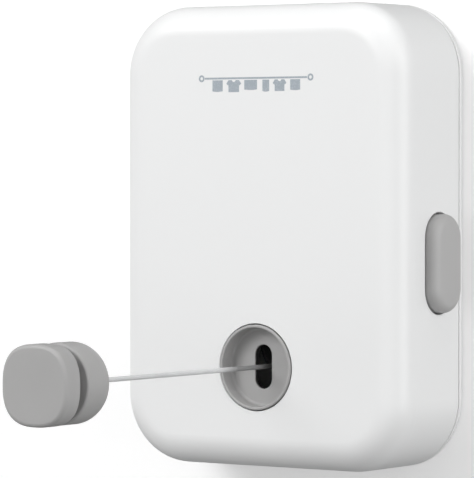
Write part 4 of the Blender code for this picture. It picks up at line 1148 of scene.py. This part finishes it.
# ---- Screws ----
def screw_shape(head_radius, head_height, shank, size=1.0 * MM):
    """A pan-head screw along the depth, its head's seat at depth 0 and its head behind it."""
    crown = [(head_radius * math.sin(a), -head_height * (0.45 + 0.55 * math.cos(a)))
             for a in (math.pi / 2 * step / 6 for step in range(7))]
    crown[0] = (0, crown[0][1])
    thread = []
    pitch = size * 0.42
    depth = 0.5 * MM
    while depth < shank - 1.6 * MM:
        thread += [(size * 0.82, depth), (size, depth + pitch * 0.5)]
        depth += pitch
    profile = [*crown, (head_radius * 0.97, 0), (size * 0.9, 0), *thread, (size * 0.8, shank - MM),
               (0, shank)]
    body = turned(profile, 28)
    arm, slot_half = head_radius * 0.52, head_radius * 0.13
    recess_floor = -head_height * 0.35
    cuts = []
    for wide, tall in ((arm, slot_half), (slot_half, arm)):
        rings = []
        for x, up, depth in ((wide, tall, -head_height - MM), (wide * 0.55, tall * 0.9, recess_floor)):
            rings.append([(-x, -up, depth), (x, -up, depth), (x, up, depth), (-x, up, depth)])
        cuts.append(loft(rings))
    return carved(body, cuts)


class CLOTHESLINE_OT_screws(ClotheslineOperator, bpy.types.Operator):
    """Sets the pan-head screws of the case, axle, outlet cup and pulley yoke"""
    bl_idname = "clothesline.screws"
    bl_label = "Screws"

    def execute(self, context):
        groups = [("case_screws", [f"case_screw_{number}" for number in range(1, 5)], 2.8, 1.6, False),
                  ("axle_screw_head", ["axle_screw"], 2.8, 1.6, False),
                  ("cup_screws", ["cup_screw_1", "cup_screw_2"], 2.0, 1.4, False),
                  ("yoke_screws", ["yoke_screw_1", "yoke_screw_2"], 2.0, 1.4, True)]
        tree = screw_tree()
        finish = finish_for("zinc_steel")
        for seed, (name, nodes, radius, height, turn_over) in enumerate(groups, 3):
            places = [Place(node) for node in nodes]
            shank = places[0].front - places[0].back - height * MM
            master = screw_shape(radius * MM, height * MM, shank)
            if turn_over:
                moved(master, Matrix.Rotation(math.pi, 4, "X"))
            seats = [(at.x, at.up, at.front - height * MM if turn_over else at.back + height * MM)
                     for at in places]
            shape = set_with(tree, "Screw", master, seats, finish,
                             **{"Most turn": 2 * math.pi, "Seed": seed})
            piece(name, shape, finish, "case", "zinc_steel", *nodes)
        return {"FINISHED"}


# ---- The outlet ----
class CLOTHESLINE_OT_outlet_cup(ClotheslineOperator, bpy.types.Operator):
    """Moulds the grey outlet cup, with its rim, dished floor and slot for the line"""
    bl_idname = "clothesline.outlet_cup"
    bl_label = "Outlet Cup"

    def execute(self, context):
        wall, floor = 0.8 * MM, CUP.front - CUP_DEPTH
        inside, floor_back = CUP_RADIUS - wall, floor - 1.4 * MM
        flange_front = SHELL.front - WALL - CUP_BOSS - GAP
        flange_back = flange_front - 1.5 * MM
        profile = softened([
            (0, floor, 0), (inside - 0.1 * MM, floor, 0.8 * MM), (inside, CUP.front, 0.25 * MM),
            (CUP_RADIUS, CUP.front, 0.3 * MM), (CUP_RADIUS, flange_front, 0.2 * MM),
            (14.5 * MM, flange_front, 0.2 * MM), (14.5 * MM, flange_back, 0.2 * MM),
            (CUP_RADIUS, flange_back, 0.2 * MM), (CUP_RADIUS, CUP.back, 0.25 * MM),
            (inside, CUP.back, 0.25 * MM), (inside, floor_back, 0.4 * MM), (0, floor_back, 0)], 6)
        lugs, cuts = [], []
        for x, up in cup_screw_places():
            side = math.copysign(1, x)
            tip = CUP.right * side
            lugs.append(box((min(side * 12 * MM, tip), up - 2.6 * MM, flange_back),
                            (max(side * 12 * MM, tip), up + 2.6 * MM, flange_front)))
            cuts.append(rod(SCREW_HOLE, 0, CUP.front, 32, (x, up)))
        cuts.append(self.slot(floor))
        shape = carved(turned(profile, 112, (0, EXIT_UP)), cuts, lugs)
        piece("outlet", shape, finish_for("outlet_plastic"), "case", "grey_plastic", "outlet_cup", sharp=34)
        return {"FINISHED"}

    @staticmethod
    def slot(floor):
        """The line's slot, a long hole with a rounded mouth so that the line doesn't chafe."""
        width, height, lip = 5.4 * MM, 12.0 * MM, 0.25 * MM
        flare = [(-lip * (1 - math.cos(a)), floor - lip + lip * math.sin(a))
                 for a in (math.pi / 2 * step / 6 for step in range(7))]
        profile = [(0, CUP.back - MM), *flare, (-lip, floor + MM)]
        shape = moulded(lambda inset: stadium(width, height, inset, 14), profile)
        return moved(shape, Matrix.Translation((0, EXIT_UP, 0)))


# ---- The lock button ----
class CLOTHESLINE_OT_lock_button(ClotheslineOperator, bpy.types.Operator):
    """Moulds the lock button, with the flange that holds it in and the pusher that works the pawl"""
    bl_idname = "clothesline.lock_button"
    bl_label = "Lock Button"

    def execute(self, context):
        foot = SHELL.right - WALL - GAP
        length_out = BUTTON.right - foot
        edge, crown = 2.4 * MM, 0.2 * MM
        shoulder = length_out - crown
        profile = [(0.0, 0.0)]
        profile += [(edge - edge * math.cos(a), shoulder - edge + edge * math.sin(a))
                    for a in (math.pi / 2 * step / 7 for step in range(8))]
        profile += [(edge + (BUTTON_WIDTH / 2 - edge) * share * 0.96,
                     shoulder + crown * math.sin(math.pi / 2 * share))
                    for share in (0.2, 0.4, 0.6, 0.8, 1.0)]
        shape = moulded(lambda inset: stadium(BUTTON_WIDTH, BUTTON_HEIGHT, inset, 20), profile)
        shape = moved(shape, Matrix.Translation((foot, BUTTON_UP, BUTTON_DEPTH)) @ SIDEWAYS)
        works_back = Place("ratchet_ring").back
        lap = foot + 0.1 * MM
        flange = box((foot - 1.5 * MM, BUTTON.bottom, BUTTON.back),
                     (lap, BUTTON.top, works_back - 1.0 * MM - 3 * GAP))
        pusher = box((BUTTON.left, BUTTON_UP - PUSHER_HEIGHT, works_back + PUSHER_LAP - PUSHER_WIDTH),
                     (lap, BUTTON_UP, works_back + PUSHER_LAP))
        shape = carved(shape, (), [flange, pusher])
        piece("side_button", shape, finish_for("button_plastic"), "button", "grey_plastic", "lock_button")
        return {"FINISHED"}


# ---- The knob ----
class CLOTHESLINE_OT_knob(ClotheslineOperator, bpy.types.Operator):
    """Moulds the pull knob: a dome that seats in the outlet, a neck and a rounded square front plate"""
    bl_idname = "clothesline.knob"
    bl_label = "Knob"

    def execute(self, context):
        knob = context.scene.clothesline_knob
        grey = finish_for("grey_plastic")
        centre = (0, EXIT_UP)
        bore = 0.95 * MM
        radius = DOME.width / 2
        round_depth = DOME.front - DOME.back - knob.dome_rim
        curve = []
        for step in range(25):
            angle = math.acos(bore / radius) * (1 - step / 24)
            curve.append((radius * math.cos(angle), DOME.back + round_depth * (1 - math.sin(angle))))
        rim = softened([(radius, DOME.front - 2 * MM, 0), (radius, DOME.front, 0.7 * MM),
                        (radius - 2 * MM, DOME.front, 0)], 6, closed=False)
        dome = turned([*curve, *rim, (bore, DOME.front)], 96, centre)
        piece("knob_dome", dome, grey, "knob", "grey_plastic", "pull_dome")
        neck_radius, flare = NECK.width / 2, knob.neck_fillet
        arc = [math.pi / 2 * step / 5 for step in range(6)]
        waist = [(neck_radius - flare * math.sin(a), NECK.back + flare * (1 - math.cos(a))) for a in arc]
        waist += [(neck_radius - flare * math.cos(a), NECK.front - flare * (1 - math.sin(a))) for a in arc]
        neck = turned([(bore, NECK.back), *waist, (bore, NECK.front)], 64, centre)
        piece("knob_neck", neck, grey, "knob", "grey_plastic", "pull_neck")
        self.plate(knob, grey)
        return {"FINISHED"}

    @staticmethod
    def plate(knob, grey):
        """A rounded square with a soft front edge and a face that is very slightly dished."""
        edge, back_edge = knob.plate_edge, 0.7 * MM

        def outline(inset):
            return squircle(PLATE.width - 2 * inset, knob.plate_power)

        arc = [math.pi / 2 * step / 7 for step in range(8)]
        profile = [(6 * MM, PLATE.back), (back_edge + EASE, PLATE.back)]
        profile += [(back_edge * (1 - math.sin(a)), PLATE.back + back_edge * (1 - math.cos(a)))
                    for a in arc]
        profile += [(0, PLATE.front - edge - EASE)]
        profile += [(edge * (1 - math.cos(a)), PLATE.front - edge * (1 - math.sin(a))) for a in arc]
        dish = 0.12 * MM
        profile += [(edge + (9 * MM - edge) * share,
                     PLATE.front - dish * (1 - math.cos(math.pi / 2 * share)))
                    for share in (0.15, 0.35, 0.6, 0.8, 1.0)]
        ferrule = Place("line_ferrule")
        recess = rod(2.1 * MM, PLATE.back - MM, ferrule.front + GAP, 40)
        shape = moved(carved(moulded(outline, profile), [recess]), Matrix.Translation((0, EXIT_UP, 0)))
        piece("knob_plate", shape, grey, "knob", "grey_plastic", "pull_plate")


# ---- The works inside ----
CARRIED_OVER = {
    "inner_plastic": ["drum", "drum_flange", "ratchet_ring", "spring_cup", "spring_cover", "pulley_yoke"],
    "acetal": ["bush_rear", "bush_front", "guide_pulley"],
    "bright_steel": ["axle", "pawl"],
    "zinc_steel": ["pulley_pin", "pin_clip", "pawl_pin", "line_ferrule"],
    "line_cord": ["line_anchor"],
}


class CLOTHESLINE_OT_works(ClotheslineOperator, bpy.types.Operator):
    """Gives the drum, ratchet, axle, pulley and the other inner pieces their finishes"""
    bl_idname = "clothesline.works"
    bl_label = "Drum and Works"

    def execute(self, context):
        for finish_name, nodes in CARRIED_OVER.items():
            for node in nodes:
                obj = frame["nodes"][node]
                if obj.hide_render:
                    continue
                obj.data.materials.clear()
                obj.data.materials.append(finish_for(finish_name))
        return {"FINISHED"}


class CLOTHESLINE_OT_winding(ClotheslineOperator, bpy.types.Operator):
    """Winds the line on the drum, in layers that run to and fro"""
    bl_idname = "clothesline.winding"
    bl_label = "Wound Line"

    def execute(self, context):
        settings = context.scene.clothesline_line
        place = Place("line_winding")
        radius = settings.diameter / 2
        outer = place.width / 2
        hub = 18.3 * MM
        layers = int((outer - hub) / (settings.diameter * 0.92))
        run = place.front - place.back - settings.diameter
        shapes = []
        for layer in range(layers):
            middle = hub + radius + (outer - hub - settings.diameter) * layer / (layers - 1)
            wound = coil(settings.turns, middle, middle, run, settings.diameter * 0.98,
                         settings.diameter * 0.98, finish_for("line_cord"), 36, 8)
            if layer % 2:
                moved(wound, Matrix.Translation((0, 0, run)) @ Matrix.Rotation(math.pi, 4, "X"))
            shapes.append(moved(wound, Matrix.Translation((*DRUM_AXIS, place.back + radius))))
        piece("wound_line", together(shapes), finish_for("line_cord"), "drum", "line_cord", "line_winding")
        return {"FINISHED"}


class CLOTHESLINE_OT_springs(ClotheslineOperator, bpy.types.Operator):
    """Coils the flat mainspring and the two small wire springs"""
    bl_idname = "clothesline.springs"
    bl_label = "Springs"

    def execute(self, context):
        steel = finish_for("spring_steel")
        main = Place("mainspring")
        width = main.front - main.back
        strip = 0.6 * MM
        start, end = 4.6 * MM, main.width / 2 - strip / 2
        spiral = coil(6, start, end, 0.0, width, strip, steel, 48, 12)
        moved(spiral, Matrix.Translation((*DRUM_AXIS, main.middle)))
        piece("flat_mainspring", spiral, steel, "drum", "spring_steel", "mainspring")
        self.wire("button_return_spring", "button_spring", 7, steel, sideways=True)
        self.wire("pawl_return_spring", "pawl_spring", 3, steel, sideways=False)
        return {"FINISHED"}

    @staticmethod
    def wire(name, node, turns, steel, sideways):
        """A coil of round wire, standing along the depth or lying sideways."""
        place = Place(node)
        wire = 0.5 * MM
        radius = (place.height - wire) / 2
        if sideways:
            tall = place.width - wire
            foot = (place.left + wire / 2, place.up, place.middle)
            turn = SIDEWAYS
            body = ("case", "button", row_point(place.left, place.up, place.middle),
                    row_point(place.right, place.up, place.middle))
        else:
            tall = place.front - place.back - wire
            foot = (place.x, place.up, place.back + wire / 2)
            turn = Matrix.Identity(4)
            body = "case"
        shape = coil(turns, radius, radius, tall, wire, wire, steel, 28, 8)
        piece(name, moved(shape, Matrix.Translation(foot) @ turn), steel, body, "spring_steel", node)


# ---- The stage ----
def plain(name, shade, glow=0.0):
    finish = Finish(name, shade, 0.9, Emission_Color=(*shade, 1.0), Emission_Strength=glow,
                    Specular_IOR_Level=0.1)
    return finish


def one_sided(finish):
    """Lets the wall be seen from the room only, so that the back of the case can be looked at."""
    behind = finish.node("NewGeometry").outputs["Backfacing"]
    clear = finish.node("BsdfTransparent")
    both = finish.node("MixShader", None, Fac=behind)
    output = next(node for node in finish.tree.nodes if node.type == "OUTPUT_MATERIAL")
    finish.tree.links.new(finish.shader.outputs[0], both.inputs[1])
    finish.tree.links.new(clear.outputs[0], both.inputs[2])
    finish.tree.links.new(both.outputs[0], output.inputs["Surface"])
    return finish


def sheet(name, corners, material):
    shape = bmesh.new()
    shape.faces.new([shape.verts.new(corner) for corner in corners])
    made = rough_object(name, shape)
    made.data.materials.append(material)
    return made


def soft_light(name, power, size, place, target):
    data = bpy.data.lights.new(name, "AREA")
    data.energy = power
    data.shape = "RECTANGLE"
    data.size, data.size_y = size
    made = bpy.data.objects.new(name, data)
    bpy.context.scene.collection.objects.link(made)
    made.location = place
    made.rotation_euler = (Vector(target) - Vector(place)).to_track_quat("-Z", "Y").to_euler()
    return made


class CLOTHESLINE_OT_stage(ClotheslineOperator, bpy.types.Operator):
    """Sets the plain wall, floor, soft lights and surroundings"""
    bl_idname = "clothesline.stage"
    bl_label = "Stage"

    def execute(self, context):
        stage = context.scene.clothesline_stage
        floor_up, far = -stage.floor_drop, 8.0
        ground = [(x, y, floor_up) for x, y in ((-far, -far), (far, -far), (far, far), (-far, far))]
        floor = sheet("floor", ground,
                      plain("pale_floor", (0.9, 0.9, 0.9), stage.floor_glow).material)
        wall = sheet("wall", [(-2, 0, floor_up), (2, 0, floor_up), (2, 0, 1.5), (-2, 0, 1.5)],
                     one_sided(plain("pale_wall", (0.9, 0.9, 0.9), stage.wall_glow)).material)
        for backdrop in (floor, wall):
            backdrop.visible_diffuse = backdrop.visible_glossy = backdrop.visible_shadow = False
        self.surroundings(context.scene, stage)
        middle = (0.0, -0.02, 0.0)
        soft_light("key_light", stage.key, (0.9, 0.9), (-0.75, -1.25, 0.85), middle)
        soft_light("side_light", stage.side, (0.8, 1.2), (1.4, -0.2, 0.3), middle)
        soft_light("front_light", stage.front, (1.0, 1.0), (0.5, -1.6, 0.3), middle)
        soft_light("top_light", stage.top, (1.2, 0.8), (0.1, -0.35, 1.3), middle)
        context.scene.view_settings.view_transform = "Standard"
        return {"FINISHED"}

    @staticmethod
    def surroundings(scene, stage):
        """Light from all round, brightest a little below eye level."""
        world = bpy.data.worlds.new("surroundings")
        world.use_nodes = True
        scene.world = world
        tree = world.node_tree
        background = tree.nodes["Background"]
        direction = tree.nodes.new("ShaderNodeTexCoord").outputs["Generated"]
        parts = tree.nodes.new("ShaderNodeSeparateXYZ")
        share = tree.nodes.new("ShaderNodeMapRange")
        share.inputs["From Min"].default_value = -1.0
        ramp = tree.nodes.new("ShaderNodeValToRGB")
        brightest = 2.0
        stops = [(0.0, stage.ground), (0.40, stage.ground), (0.415, stage.horizon), (0.675, stage.sky)]
        Finish.set_stops(ramp.color_ramp, [(at, (glow / brightest,) * 3) for at, glow in stops])
        tree.links.new(direction, parts.inputs[0])
        tree.links.new(parts.outputs[2], share.inputs["Value"])
        tree.links.new(share.outputs[0], ramp.inputs["Fac"])
        tree.links.new(ramp.outputs["Color"], background.inputs["Color"])
        background.inputs["Strength"].default_value = brightest


# ---- The add-on ----
OPERATORS = (CLOTHESLINE_OT_camera, CLOTHESLINE_OT_line, CLOTHESLINE_OT_stage, CLOTHESLINE_OT_front_shell,
             CLOTHESLINE_OT_printed_mark, CLOTHESLINE_OT_rear_cover, CLOTHESLINE_OT_wall_bracket,
             CLOTHESLINE_OT_screws, CLOTHESLINE_OT_outlet_cup, CLOTHESLINE_OT_lock_button,
             CLOTHESLINE_OT_knob, CLOTHESLINE_OT_winding, CLOTHESLINE_OT_springs, CLOTHESLINE_OT_works)
SETTINGS = {"clothesline_case": CaseSettings, "clothesline_knob": KnobSettings,
            "clothesline_line": LineSettings, "clothesline_finish": FinishSettings,
            "clothesline_stage": StageSettings}


class CLOTHESLINE_PT_panel(bpy.types.Panel):
    """Lists the clothesline's pieces and settings"""
    bl_idname = "CLOTHESLINE_PT_panel"
    bl_label = "Clothesline"
    bl_space_type = "VIEW_3D"
    bl_region_type = "UI"
    bl_category = "Clothesline"

    def draw(self, context):
        for operator in OPERATORS:
            self.layout.operator(operator.bl_idname)
        for name, group in SETTINGS.items():
            column = self.layout.column(align=True)
            for key in group.__annotations__:
                column.prop(getattr(context.scene, name), key)


def register():
    for name, group in SETTINGS.items():
        bpy.utils.register_class(group)
        setattr(bpy.types.Scene, name, PointerProperty(type=group))
    for operator in OPERATORS:
        bpy.utils.register_class(operator)
    bpy.utils.register_class(CLOTHESLINE_PT_panel)


def unregister():
    bpy.utils.unregister_class(CLOTHESLINE_PT_panel)
    for operator in reversed(OPERATORS):
        bpy.utils.unregister_class(operator)
    for name, group in SETTINGS.items():
        delattr(bpy.types.Scene, name)
        bpy.utils.unregister_class(group)


def main():
    register()
    bpy.ops.clothesline.camera()
    bpy.ops.clothesline.line()
    bpy.ops.clothesline.stage()
    bpy.ops.clothesline.front_shell()
    bpy.ops.clothesline.printed_mark()
    bpy.ops.clothesline.rear_cover()
    bpy.ops.clothesline.wall_bracket()
    bpy.ops.clothesline.screws()
    bpy.ops.clothesline.outlet_cup()
    bpy.ops.clothesline.lock_button()
    bpy.ops.clothesline.knob()
    bpy.ops.clothesline.winding()
    bpy.ops.clothesline.springs()
    bpy.ops.clothesline.works()
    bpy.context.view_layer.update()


if __name__ == "__main__":
    main()
